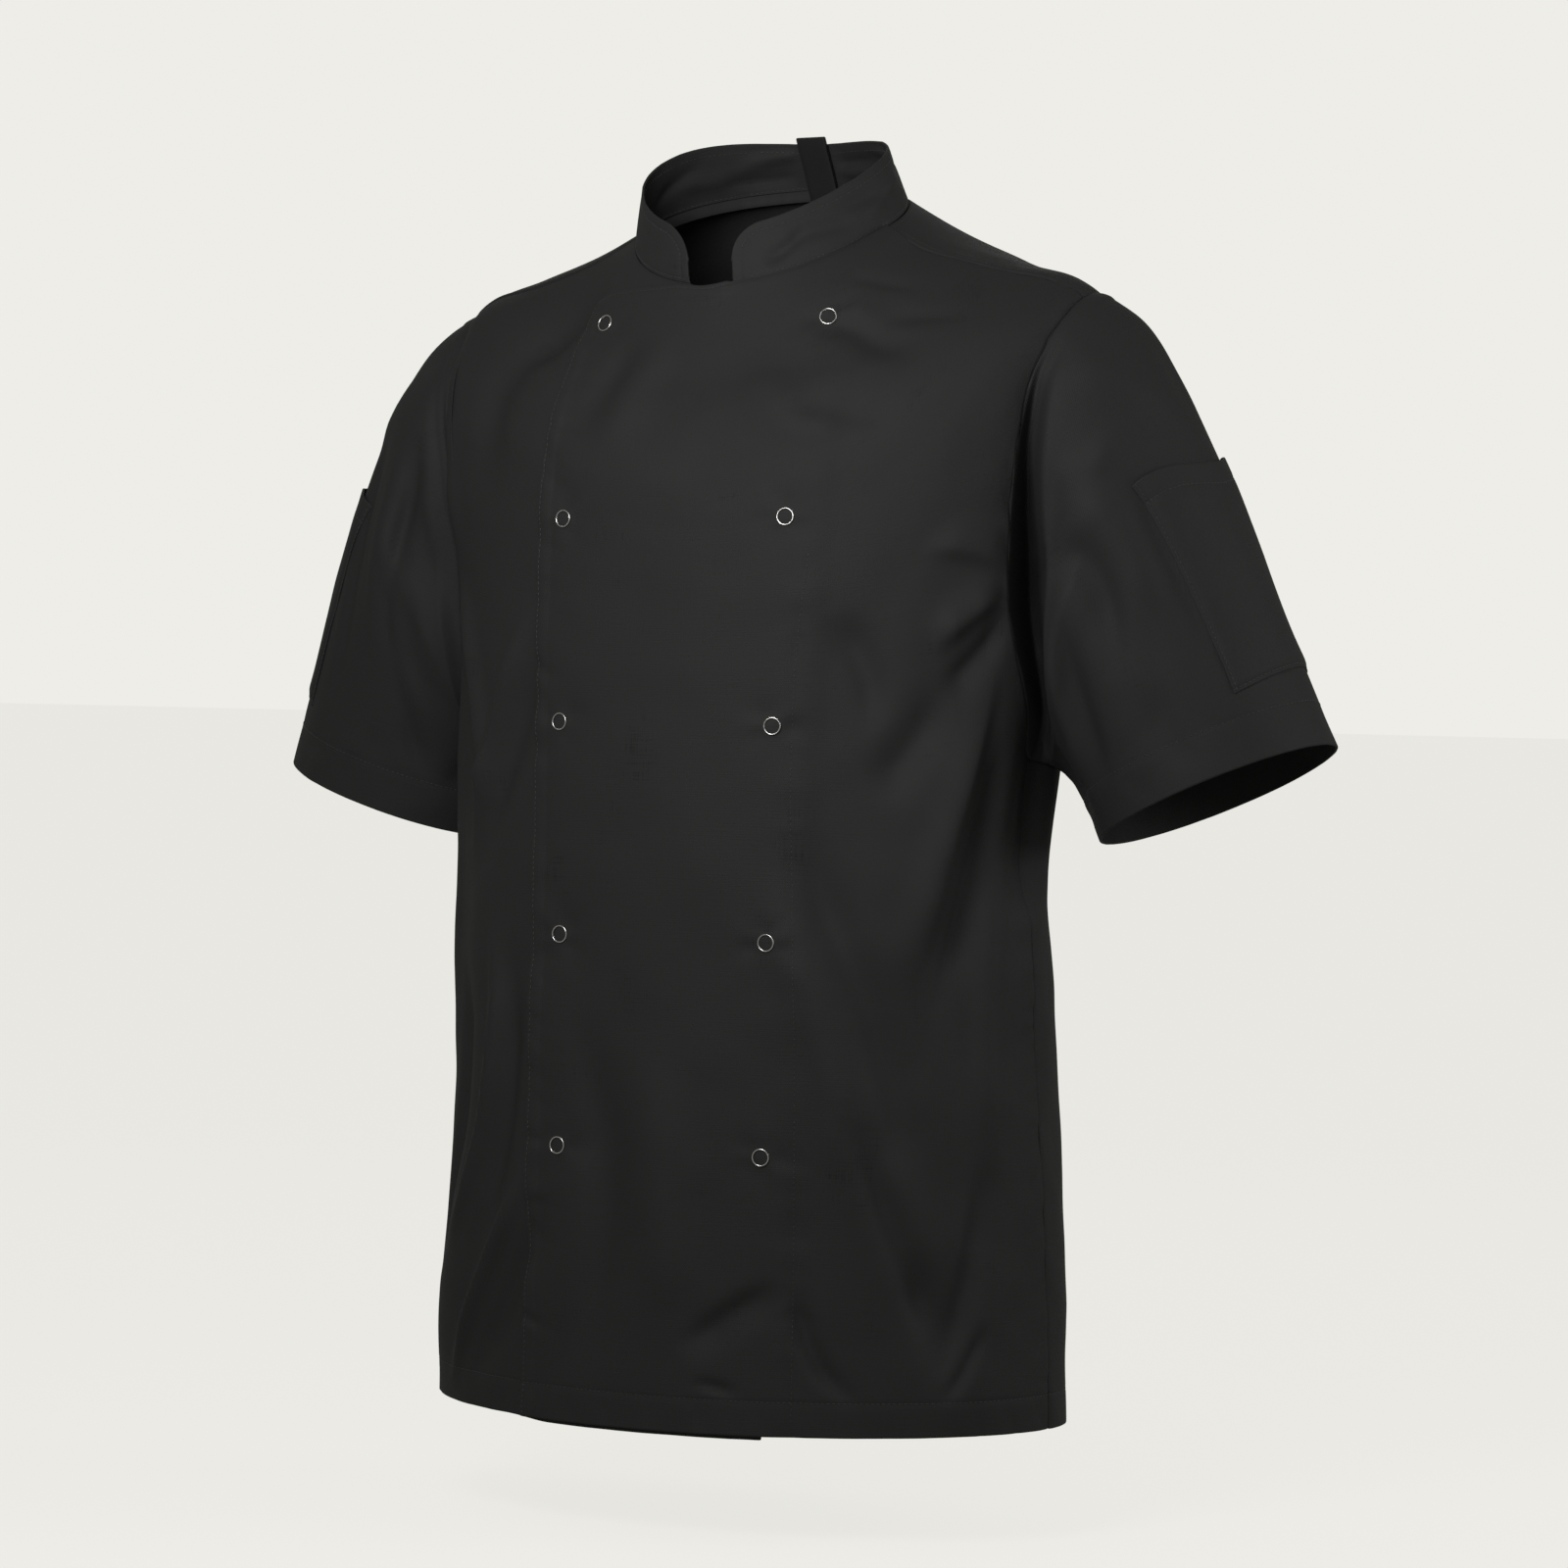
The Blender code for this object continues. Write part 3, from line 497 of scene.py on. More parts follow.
def sewn_wall(name, outside, thick, weave, material, closed=False, weave_turn=0.0):
    """A closed wall of cloth. outside is a grid of points, columns anticlockwise and rows up as
    seen from outside. The inside lies thick under it, along the grid's normal, and along each free
    edge the two are joined by a half circle. weave gives each point its place in the cloth, and
    weave_turn how far that runs once round a closed grid."""
    rows, columns = outside.shape[:2]
    normal = grid_outward(outside, closed)
    inside = outside - normal * thick[..., None]
    index = np.arange(rows * columns).reshape(rows, columns)
    if closed:
        index = np.concatenate([index, index[:, :1]], axis=1)
        weave = np.concatenate([weave, weave[:, :1] + np.array([weave_turn, 0])], axis=1)
    spot = np.arange(rows * index.shape[1]).reshape(index.shape)
    faces = [quads(index), quads(index)[:, ::-1] + rows * columns]
    weaves = [quads(spot), quads(spot)[:, ::-1]]
    points = [outside.reshape(-1, 3), inside.reshape(-1, 3)]

    away = np.zeros_like(outside)
    away[0] += unit(outside[0] - outside[1])
    away[-1] += unit(outside[-1] - outside[-2])
    if closed:
        loops = [(index[0], spot[0]), (index[-1, ::-1], spot[-1, ::-1])]
    else:
        away[:, 0] += unit(outside[:, 0] - outside[:, 1])
        away[:, -1] += unit(outside[:, -1] - outside[:, -2])
        loops = [(rim(index), rim(spot))]
    away = unit(away - normal * np.sum(away * normal, axis=-1, keepdims=True)).reshape(-1, 3)
    made = 2 * rows * columns
    for loop, loop_spot in loops:
        ends = loop[:-1]
        outer_points, inner_points = points[0][ends], points[1][ends]
        middle, half = (outer_points + inner_points) / 2, (outer_points - inner_points) / 2
        reach = away[ends] * np.linalg.norm(half, axis=-1, keepdims=True)
        rings = [loop]
        for turn in np.radians([45, 90, 135]):
            points.append(middle + half * np.cos(turn) + reach * np.sin(turn))
            ring = made + np.arange(len(ends))
            rings.append(np.concatenate([ring, ring[:1]]))
            made += len(ends)
        rings.append(loop + rows * columns)
        here, onward = loop_spot[:-1], loop_spot[1:]
        for upper, lower in zip(rings, rings[1:]):
            faces.append(np.stack([upper[1:], upper[:-1], lower[:-1], lower[1:]], axis=-1))
            weaves.append(np.stack([onward, here, here, onward], axis=-1))
    all_points, all_faces = np.concatenate(points), np.concatenate(faces)
    piece = new_piece(name, all_points.tolist(), all_faces.tolist(), material)
    layer = piece.data.uv_layers.new(name="weave")
    corners = np.concatenate(weaves).reshape(-1)
    layer.data.foreach_set("uv", weave.reshape(-1, 2)[corners].reshape(-1))
    return piece


def wire(tree, made, **sockets):
    """Sets a node's sockets, by name or by number as _0, to a value or another's output."""
    for name, value in sockets.items():
        socket = made.inputs[int(name[1:]) if name[0] == "_" else name.replace("_", " ")]
        if isinstance(value, bpy.types.NodeSocket):
            tree.links.new(value, socket)
        else:
            socket.default_value = value


def node(tree, kind, settings=(), **sockets):
    """Adds a shader node with its settings and its sockets."""
    made = tree.nodes.new("ShaderNode" + kind)
    for name, value in dict(settings).items():
        setattr(made, name, value)
    wire(tree, made, **sockets)
    return made


def new_finish(name, **plain):
    """A material, its nodes and its shader, some of whose sockets take a plain value."""
    made = bpy.data.materials.new(name)
    made.use_nodes = True
    shader = made.node_tree.nodes["Principled BSDF"]
    wire(made.node_tree, shader, **plain)
    return made, made.node_tree, shader


def ribs(tree, place, pitch, way="X", **more):
    """Parallel ribs, that many millimetres apart: a wave node repeats every 0.314 of its scale."""
    more.update(Vector=place, Scale=0.314 / (pitch * MM))
    return node(tree, "TexWave", {"bands_direction": way}, **more).outputs["Fac"]


def grain(tree, place, scale, detail):
    """Noise from 0 to 1, of that scale and detail."""
    return node(tree, "TexNoise", Vector=place, Scale=scale, Detail=detail).outputs["Fac"]


def added(tree, value, share, other):
    """The value times a share, plus the other one."""
    settings = {"operation": "MULTIPLY_ADD"}
    return node(tree, "Math", settings, _0=value, _1=share, _2=other).outputs[0]


def tones(tree, value, dark, light, ends=(0.0, 1.0)):
    """A colour from dark to light as the value goes from one end to the other."""
    ramp = node(tree, "ValToRGB", Fac=value)
    for stop, end, colour in zip(ramp.color_ramp.elements, ends, (dark, light)):
        stop.position, stop.color = end, (*colour, 1)
    return ramp.outputs["Color"]


def relief(tree, height, strength, depth, **more):
    """A bump of that strength, and of that depth in millimetres."""
    made = node(tree, "Bump", Strength=strength, Distance=depth * MM, Height=height, **more)
    return made.outputs[0]


TWILL_WALE, TWILL_THREAD, TWILL_SLANT = 0.8, 0.45, 27  # pitches in millimetres, degrees


def twill_finish():
    """Black twill: diagonal wales, threads across them, slubs that run along warp and weft, and a
    faint sheen. It reads the weave's place in metres."""
    made, tree, shader = new_finish(
        "black_twill", Specular_IOR_Level=0.13, Sheen_Weight=0.006, Sheen_Roughness=0.45
    )
    place = node(tree, "UVMap", {"uv_map": "weave"}).outputs["UV"]
    slant = (0, 0, np.radians(TWILL_SLANT))
    turned = node(tree, "Mapping", Vector=place, Rotation=slant).outputs[0]
    wales = ribs(tree, turned, TWILL_WALE, Distortion=0.6, Detail=1.0)
    threads = ribs(tree, turned, TWILL_THREAD, "Y", Distortion=0.4)
    along_warp = node(tree, "Mapping", Vector=place, Scale=(1900, 60, 1)).outputs[0]
    along_weft = node(tree, "Mapping", Vector=place, Scale=(45, 1500, 1)).outputs[0]
    slubs = added(tree, grain(tree, along_warp, 1.0, 3.0), 1.0, grain(tree, along_weft, 1.0, 3.0))
    cloudy = grain(tree, place, 22.0, 4.0)
    mixed = added(tree, slubs, 0.7, cloudy)
    tone = tones(tree, mixed, (0.0095, 0.0095, 0.0096), (0.0235, 0.0235, 0.0235), (0.75, 1.0))
    rough = node(tree, "MapRange", Value=cloudy, To_Min=0.55, To_Max=0.68).outputs[0]
    fine = relief(tree, added(tree, threads, 0.35, wales), 0.7, 0.08)
    coarse = relief(tree, slubs, 0.6, 0.22, Normal=fine)
    wire(tree, shader, Base_Color=tone, Roughness=rough, Normal=coarse)
    return made


twill = twill_finish()

HEM_LINES = (0.7, 1.8, 3.5, 7, 11, 15, 18.4, 19.3, 20, 20.7, 21.8, 23.5)  # millimetres from it
SEAM_LINES = (0.6, 1.2, 1.8, 2.4, 3.2, 4.4, 5.2, 6.0, 6.8, 7.8, 9)
FRONT_EDGE_LINES = (0.6, 1.2, 1.8, 2.4, 3.2, 5.2, 7.0, 7.8, 9)
FRONT_CELLS = LAP_CELLS + NECK_CELLS + SHOULDER_CELLS
FRONT_ROWS = stations(ROWS_BELOW + ROWS_ABOVE, 11, 24.2, HEM_LINES, SEAM_LINES)
FRONT_COLUMNS = stations(FRONT_CELLS, 5, 16.5, FRONT_EDGE_LINES, SEAM_LINES)
ROW_BREAKS = (0, ROWS_BELOW, ROWS_BELOW + ROWS_ABOVE)
FRONT_BREAKS = (0, LAP_CELLS, LAP_CELLS + NECK_CELLS, FRONT_CELLS)
UNDERLAP_DROP = 2.2 * MM  # the lower front hangs that much lower under the lap
UNDERLAP_TURN = 7  # millimetres that its edge is turned in
LAP_REACH = 100  # millimetres past the middle, as far as the upper front covers the lower one
# height, and the distances of the right and the left snap from the middle, in millimetres
SNAP_ROWS = ((-66, 78, 76), (-187, 77, 74), (-311, 75, 71), (-440, 71, 72), (-568, 67, 72))
SNAP_FACING = (0.22, -1.0, 0.10)
SNAP_TURNS = (0.36, 0.34, 0.30, 0.30, 0.30)  # the outer column, from the top


def weave_places(angle, level):
    """Metres of cloth across and up: for each degree a share of the quarter ellipse's length, and
    the level."""
    half_width, front_y, _, back_y = np.moveaxis(smooth_table(SECTIONS, level)[..., :4] * MM, -1, 0)
    quarter = np.pi / 2 * np.sqrt((half_width**2 + ((back_y - front_y) / 2) ** 2) / 2)
    return np.stack([(angle + 90) * quarter / 90, level * LEVEL_HEIGHT * MM], axis=-1)


def hemmed(distance, depth):
    """Thickness of cloth that is turned up twice over that depth from its edge."""
    turned = ease((depth + 0.8 - distance / MM) / 1.6)
    return CLOTH_THICK + (HEM_THICK - CLOTH_THICK) * turned


def cloth_grid(lattice, rows, columns, column_breaks):
    """The angle and level of a lattice at these rows and columns."""
    weights = between(ROW_BREAKS, rows), between(column_breaks, columns)
    return np.einsum("ri,cj,ijk->rck", *weights, lattice)


def raised(flat, angle, level, lift):
    """The body form moved out by the cloth's wall, its folds and a lift in millimetres."""
    out = CLOTH_WALL + body_folds(angle, level) + lift * MM
    return flat + body_outward(angle, level) * out[..., None]


def snap_place(side, row):
    """Angle, level and outward way of a snap. The outer column's snaps face more to the front than
    the form under them."""
    height, right_distance, left_distance = SNAP_ROWS[row]
    distance = (left_distance if side == "left" else -right_distance) * MM
    level = level_at(distance, height * MM)
    angle = angle_at(distance, level)
    share = 0.0 if side == "left" else SNAP_TURNS[row]
    facing = unit(body_outward(angle, level) * (1 - share) + np.array(SNAP_FACING) * share)
    return angle, level, facing


def snap_dimples(points):
    """Each snap holds the cloth down: it turns the cloth its own way, with a low mound under the
    ring, a shallow dish round it, and a few uneven rays of pulled cloth, all fading as
    exp(-distance squared). In millimetres."""
    total = np.zeros(points.shape[:2])
    for row in range(len(SNAP_ROWS)):
        for side in ("right", "left"):
            angle, level, facing = snap_place(side, row)
            form_way = body_outward(angle, level)
            off = (points - body_form(angle, level)) / MM
            turned = -(off @ facing) / (facing @ form_way) + off @ form_way
            radius = np.linalg.norm(off, axis=-1)
            turn = np.arctan2(off[..., 2], off[..., 0])
            phase = np.random.default_rng(40 + 2 * row + (side == "left")).uniform(0, 6.28, 3)
            rays = np.cos(3 * turn + phase[0]) + 0.7 * np.cos(5 * turn + phase[1])
            rays = rays + 0.6 * np.cos(2 * turn + phase[2])
            dish = -0.9 * np.exp(-((radius / 15) ** 2)) + 1.1 * np.exp(-((radius / 6.5) ** 4))
            total += turned * np.exp(-((radius / 15) ** 2))
            clear = 1 - np.exp(-((radius / 8) ** 4))
            total += dish + 0.7 * rays * clear * np.exp(-((radius / 18) ** 2))
    return total


def right_front():
    """The lattice's mirror image, raised by its seams, stitches and snaps, and let down a little
    where the lap covers it."""
    lattice = front_lattice(UNDERLAP_EDGE, RIGHT_COLLAR_END)
    fine = cloth_grid(lattice, FRONT_ROWS, FRONT_COLUMNS, FRONT_BREAKS)
    angle, level = -180 - fine[:, ::-1, 0], fine[:, ::-1, 1]
    flat = body_form(angle, level)
    across, up = run_lengths(flat)
    from_side, from_edge, from_hem, from_top = across, across[:, -1:] - across, up, up[-1:] - up
    under_lap = flat[..., 0] / MM + LAP_REACH
    lift = groove(from_hem, HEM_DEPTH) + groove(from_edge, UNDERLAP_TURN)
    lift += seam_groove(from_side) + seam_groove(from_top)
    lift += puckers(across, from_hem, 17, 22, 0.8, 11) + puckers(up, from_side, 15, 14, 0.35, 13)
    lift += snap_dimples(flat) * ease(under_lap / 8) + strokes(across, from_hem, 23, 15, 0.9, 15)
    outside = tilted(raised(flat, angle, level, lift))
    outside[..., 2] -= UNDERLAP_DROP * ease(1 - from_hem / (60 * MM)) * ease(under_lap / 30)
    turned = ease((UNDERLAP_TURN + 0.6 - from_edge / MM) / 1.2)
    thick = CLOTH_THICK + (HEM_THICK - CLOTH_THICK) * turned
    thick = np.maximum(thick, hemmed(from_hem, HEM_DEPTH))
    piece = sewn_wall("twill_front_right", outside, thick, weave_places(angle, level), twill)
    return piece, outside, from_hem


front_right, front_right_cloth, front_right_from_hem = right_front()
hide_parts("front_right")

# Left front -------------------------------------------------------------------------------------
# The upper of the two fronts, on the lower one from the neck to the hem. The same twill, faced as
# far as the second snap column, so that its edge is two layers thick and its facing's seam shows.
LAP_LIFT = CLOTH_WALL + 0.8 * MM
LAYER_EDGE, LAYER_STEP = 5 * MM, 18 * MM
OVERLAP_EDGE = ((0.00, 88), (0.30, 92), (0.55, 96), (0.72, 97), (0.93, 96))  # level, millimetres
LEFT_COLLAR_END = 12 * MM
FACING_LINE = ((0.0, 94), (0.30, 90), (0.594, 84), (0.65, 88), (0.93, 90))  # level, millimetres
FACING_TOP = 0.64  # the level up to which its stitches go through both layers
EDGE_STITCH = 1.2  # millimetres from the front edge and from the lap's top
LAP_THICK, LAP_PROUD = 2.3 * MM, 1.1  # four layers at its edge, which stands off 1.1 millimetres


def upper_lift(angle, level):
    """The upper front lies on the lower one, and comes down to the body form past its edge."""
    edge = smooth_table(UNDERLAP_EDGE, level)[..., 0] * MM
    distance = body_form(angle, level)[..., 0]
    return LAP_LIFT * (1 - ease((distance - edge - LAYER_EDGE) / LAYER_STEP))


def left_front():
    """The lattice raised over the lower front, by its seams and stitches and by its snaps, and
    thickened and puckered along the lap."""
    lattice = front_lattice(OVERLAP_EDGE, LEFT_COLLAR_END)
    fine = cloth_grid(lattice, FRONT_ROWS, FRONT_COLUMNS, FRONT_BREAKS)
    angle, level = fine[..., 0], fine[..., 1]
    flat = body_form(angle, level)
    across, up = run_lengths(flat)
    from_edge, from_side, from_hem, from_top = across, across[:, -1:] - across, up, up[-1:] - up
    lap_top = ease((LEFT_COLLAR_END / MM + 2 - flat[..., 0] / MM) / 6)
    from_lap = np.minimum(from_edge, np.where(lap_top > 0.5, from_top, 1)) / MM
    past_facing = flat[..., 0] - smooth_table(FACING_LINE, level)[..., 0] * MM
    off_facing = np.abs(past_facing)
    seamed = ease((FACING_TOP + 0.03 - level) / 0.05)
    lift = groove(from_hem, HEM_DEPTH) + groove(from_edge, EDGE_STITCH, 0.3, 0.7)
    lift += seam_groove(from_side) + seam_groove(from_top) * (1 - lap_top)
    lift += groove(from_top, EDGE_STITCH, 0.3, 0.7) * lap_top
    lift += (groove(past_facing, 0, 0.45, 1.6) + 0.25 * ease(-past_facing / MM / 5)) * seamed
    lift += LAP_PROUD * ease((11 - from_lap) / 5) + strokes(up, from_edge, 19, 17, 2.4, 37)
    lift += strokes(up, off_facing, 23, 9, 0.8, 39) * seamed
    lift += strokes(across, from_hem, 23, 15, 0.9, 41) + strokes(up, from_side, 17, 10, 0.8, 43)
    lift += puckers(across, from_hem, 17, 22, 0.8, 21) + puckers(up, from_edge, 13, 17, 1.0, 23)
    lift += puckers(up, off_facing, 17, 12, 0.6, 25) + puckers(up, from_side, 15, 14, 0.6, 27)
    lift += puckers(across, from_top, 15, 12, 0.35, 29) + snap_dimples(flat)
    lift += upper_lift(angle, level) / MM
    outside = tilted(raised(flat, angle, level, lift))
    thick = CLOTH_THICK + (LAP_THICK - CLOTH_THICK) * ease((8 - from_lap) / 1.5)
    thick = np.maximum(thick, hemmed(from_hem, HEM_DEPTH))
    piece = sewn_wall("twill_front_left", outside, thick, weave_places(angle, level), twill)
    return piece, outside, (from_edge, from_hem, from_top, past_facing)


front_left, front_left_cloth, front_left_runs = left_front()
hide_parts("front_left")

# Back -------------------------------------------------------------------------------------------
# One piece of the same twill, which comes forward over the shoulders to the two shoulder seams. Its
# seam allowances lie inside, under the fronts.
BACK_SHARES = np.concatenate(
    [np.linspace(1, 0.635, 11), np.linspace(0.635, SHOULDER_SHARE, 5)[1:]]
)
BACK_NECK_CELLS = 10
BACK_ROWS = stations(ROWS_BELOW + ROWS_ABOVE, 7, 24.2, HEM_LINES, SEAM_LINES)
BACK_COLUMNS = stations(BACK_NECK_CELLS + SHOULDER_CELLS, 5, 19, (), SEAM_LINES)
BACK_BREAKS = (0, BACK_NECK_CELLS, BACK_NECK_CELLS + SHOULDER_CELLS)
SHOULDER_STITCH = 6  # millimetres from the shoulder seam
ALLOWANCE = ((0.5, 0.7), (1.5, 1.9), (8.0, 2.4))  # past the seam and inwards, in millimetres
BEYOND = len(ALLOWANCE)


def allowance_lines(edge, before, outward, reach, lines=ALLOWANCE):
    """Lines past an edge: on along the cloth and in under it, times reach."""
    onward, under = unit(edge - before), np.minimum(reach * 4, 1)
    made = []
    for on, inward in lines:
        past = edge + onward * (on * reach * MM)[:, None]
        made.append(past - outward * (inward * under * MM)[:, None])
    return made


def whole_back():
    """Half a lattice and its mirror image, raised by its seams and stitches, with its allowances
    added along the sides below the pits and along the shoulders."""
    middle_above = np.linspace(PIT_LEVEL, 1, len(BACK_SHARES))[1:]
    inner = pairs(90.0, np.concatenate([np.linspace(0, PIT_LEVEL, ROWS_BELOW + 1), middle_above]))
    outer = outer_edge(BACK_SHARES, 1)
    neck = pairs(np.linspace(90.0, SHOULDER_SEAM[0][1], BACK_NECK_CELLS + 1)[:-1], 1.0)
    top = np.concatenate([neck, shoulder_edge(outer[-1], 1)])
    bottom = pairs(np.linspace(90.0, outer[0, 0], len(top)), 0.0)
    lattice = patch(bottom, outer, top, inner)
    fine = cloth_grid(lattice, BACK_ROWS, BACK_COLUMNS, BACK_BREAKS)
    angle = np.concatenate([fine[:, ::-1, 0], 180 - fine[:, 1:, 0]], axis=1)
    level = np.concatenate([fine[:, ::-1, 1], fine[:, 1:, 1]], axis=1)
    flat = body_form(angle, level)
    across, up = run_lengths(flat)
    from_hem, from_top = up, up[-1:] - up
    from_side = np.minimum(across, across[:, -1:] - across)
    on_shoulder = ease((12 - np.abs(np.abs(angle - 90) - 112) / 2) / 6) * ease((level - 0.8) / 0.03)
    step = 0.8 * ease((SHOULDER_STITCH + 0.5 - from_top / MM) / 2)
    lift = groove(from_hem, HEM_DEPTH) + seam_groove(from_side) + seam_groove(from_top)
    lift += (groove(from_top, SHOULDER_STITCH, 0.35) + step) * on_shoulder
    lift += puckers(across, from_hem, 17, 20, 0.5, 31) + puckers(up, from_side, 15, 14, 0.4, 33)
    lift += puckers(across, from_top, 14, 13, 0.35, 35)
    outside = raised(flat, angle, level, lift)
    way = grid_outward(outside)
    below_pit = 0.06 + 0.94 * (BACK_ROWS < ROWS_BELOW - 0.2)
    near = allowance_lines(outside[:, 0], outside[:, 1], way[:, 0], below_pit)
    far = allowance_lines(outside[:, -1], outside[:, -2], way[:, -1], below_pit)
    cloth = np.concatenate([np.stack(near[::-1], axis=1), outside, np.stack(far, axis=1)], axis=1)
    last_way = np.pad(way[-1], ((BEYOND, BEYOND), (0, 0)), "edge")
    off_middle = np.abs(np.arange(-BEYOND, outside.shape[1] + BEYOND) - len(BACK_COLUMNS) + 1)
    shoulder_from = np.searchsorted(BACK_COLUMNS, BACK_NECK_CELLS + 0.1)
    at_shoulder = 0.06 + 0.94 * (off_middle > shoulder_from)
    top_lines = allowance_lines(cloth[-1], cloth[-2], last_way, at_shoulder)
    cloth = tilted(np.concatenate([cloth, np.stack(top_lines)]))
    sides, ends = (BEYOND, BEYOND), (0, BEYOND)
    thick = np.pad(hemmed(from_hem, HEM_DEPTH), ((0, 0), sides), constant_values=CLOTH_THICK)
    thick = np.pad(thick, (ends, (0, 0)), "edge")
    places = np.pad(weave_places(angle, level), (ends, sides, (0, 0)), "edge")
    piece = sewn_wall("twill_back", cloth, thick, places, twill)
    return piece, tilted(outside), from_hem, from_top


back, back_cloth, back_from_hem, back_from_top = whole_back()
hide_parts("back")

# Sleeves ----------------------------------------------------------------------------------------
# Short set-in sleeves of the same twill, each a tube with one seam under the arm. The armhole's
# seam allowances are pressed into the sleeve's head, and the cuff is hemmed and stitched.
# side, height of the cuff's middle in millimetres, and how steeply the cuff rises outwards
SLEEVES = (("left", -347, 0.45), ("right", -363, 0.34))
CUFF_PLACE = np.array([289, 54]) * MM
CUFF_HALF_WIDTH, CUFF_HALF_DEPTH = 70 * MM, 69 * MM
CUFF_HEM = 27  # millimetres
ARM_MIDDLE = np.array([200, 20, -190]) * MM
PIT_GAP = 1.7 * MM
LEAVE_OUT, LEAVE_ROUND, LEAVE_DOWN, LEAVE_UNDER = 1.0, 0.42, 0.46, 0.06
LEAVE_PULL, ARRIVE_PULL = 0.45, 2.4
POCKET_SHARES = (0.375, 0.635)
POCKET_TOP, POCKET_BOTTOM = 0.44, 0.84
POCKET_TOP_SKEW, POCKET_TAKE_IN = 0.07, 0.13
ARMHOLE_VALLEY = ((0.06, 0.42, 11), (0.62, 0.92, 8))  # from share, to share, depth in millimetres
SLEEVE_ROUND, SLEEVE_LONG = 480, 250  # millimetres of cloth, for creases and weave
SLEEVE_COLUMNS = 168
CUFF_LINES = (0.7, 1.8, 3.5, 7, 12, 18, 24, 26.2, 27, 27.8, 29.2)  # millimetres from the cuff
HEAD_LINES = (0.7, 1.5, 2.4, 3.4, 4.5, 5.7, 7, 8.4, 9.6, 11, 12.5, 14, 15.5, 17, 19)
SLEEVE_ROWS = stations(1, 84, SLEEVE_LONG, CUFF_LINES, HEAD_LINES)
SLEEVE_ALLOWANCE = ((0.3, 0.7), (-1.5, -0.2), (-7, -0.4))  # out of the armhole and off the body
HEAD_PROUD = 0.85  # millimetres that the seam allowances lift the sleeve's head
# from share and row, to share and row, bend, width before and after the line, height
SLEEVE_CREASES = {
    "left": (
        (0.24, 0.22, 0.25, 0.62, -8, 9, 13, -5.2),
        (0.29, 0.20, 0.31, 0.64, -6, 12, 14, 3.9),
        (0.36, 0.34, 0.37, 0.78, 3, 9, 11, -3.6),
        (0.19, 0.34, 0.17, 0.82, 4, 10, 15, -4.9),
        (0.15, 0.30, 0.12, 0.72, -3, 10, 12, 3.3),
        (0.31, 0.14, 0.38, 0.30, 6, 9, 12, 2.4),
        (0.42, 0.06, 0.47, 0.28, 5, 12, 13, 2.4),
        (0.52, 0.10, 0.53, 0.34, -4, 10, 13, -2.4),
        (0.70, 0.10, 0.66, 0.55, -9, 11, 17, -4.9),
        (0.78, 0.14, 0.70, 0.66, 8, 12, 16, 4.2),
        (0.86, 0.28, 0.79, 0.80, 8, 10, 15, -4.2),
        (0.05, 0.30, 0.10, 0.86, 6, 9, 14, -4.2),
        (0.28, 0.70, 0.29, 0.97, 4, 9, 12, -2.4),
        (0.67, 0.74, 0.65, 0.97, -4, 9, 12, -2.4),
        (0.46, 0.88, 0.52, 0.98, 3, 10, 12, 1.6),
    ),
    "right": (
        (0.35, 0.08, 0.23, 0.52, 8, 6, 9, -5.1),
        (0.37, 0.12, 0.26, 0.58, 8, 9, 12, 3.7),
        (0.40, 0.22, 0.31, 0.74, 6, 7, 10, -3.9),
        (0.29, 0.30, 0.17, 0.66, 6, 8, 12, 3.9),
        (0.22, 0.34, 0.14, 0.84, -5, 9, 12, -3.7),
        (0.30, 0.90, 0.40, 0.93, 2, 4, 5, -1.8),
        (0.45, 0.10, 0.44, 0.30, 5, 12, 13, 2.1),
        (0.56, 0.05, 0.55, 0.34, -4, 10, 13, -2.1),
        (0.68, 0.12, 0.67, 0.60, 7, 11, 17, 3.9),
        (0.77, 0.16, 0.72, 0.70, -8, 12, 16, -3.7),
        (0.88, 0.30, 0.80, 0.84, 8, 10, 15, 3.1),
        (0.06, 0.34, 0.11, 0.80, 6, 9, 14, -3.7),
        (0.63, 0.70, 0.68, 0.96, -4, 9, 12, -2.1),
    ),
}
DROP = (  # share, depth and width of the crease behind the armhole seam, in millimetres
    (0.00, 0, 14),
    (0.03, 12, 18),
    (0.07, 27, 24),
    (0.13, 36, 25),
    (0.20, 38, 23),
    (0.27, 27, 19),
    (0.34, 13, 15),
    (0.41, 3, 12),
    (0.47, 0, 12),
    (0.58, 0, 12),
    (0.66, 5, 14),
    (0.76, 14, 18),
    (0.86, 12, 18),
    (0.94, 2, 14),
    (1.00, 0, 14),
)
DROP_WAY = (-0.25, 1.0, 0.0)  # backwards on the front half, forwards on the back half
DROP_SHARE = {"left": 1.0, "right": 0.35}


def armhole_edge(share, side):
    """The armhole on the folded body, the body's outward way there, and the way into the hole: the
    cross product of the edge's own direction and the outward way."""
    angle, level = armhole(share % 1)
    outward = body_outward(angle, level)
    folds = body_folds(angle if side == "left" else 180 - angle, level)
    ahead, behind = armhole((share + 0.002) % 1), armhole((share - 0.002) % 1)
    into_hole = np.cross(unit(body_form(*ahead) - body_form(*behind)), outward)
    return body_form(angle, level) + outward * folds[..., None], outward, into_hole


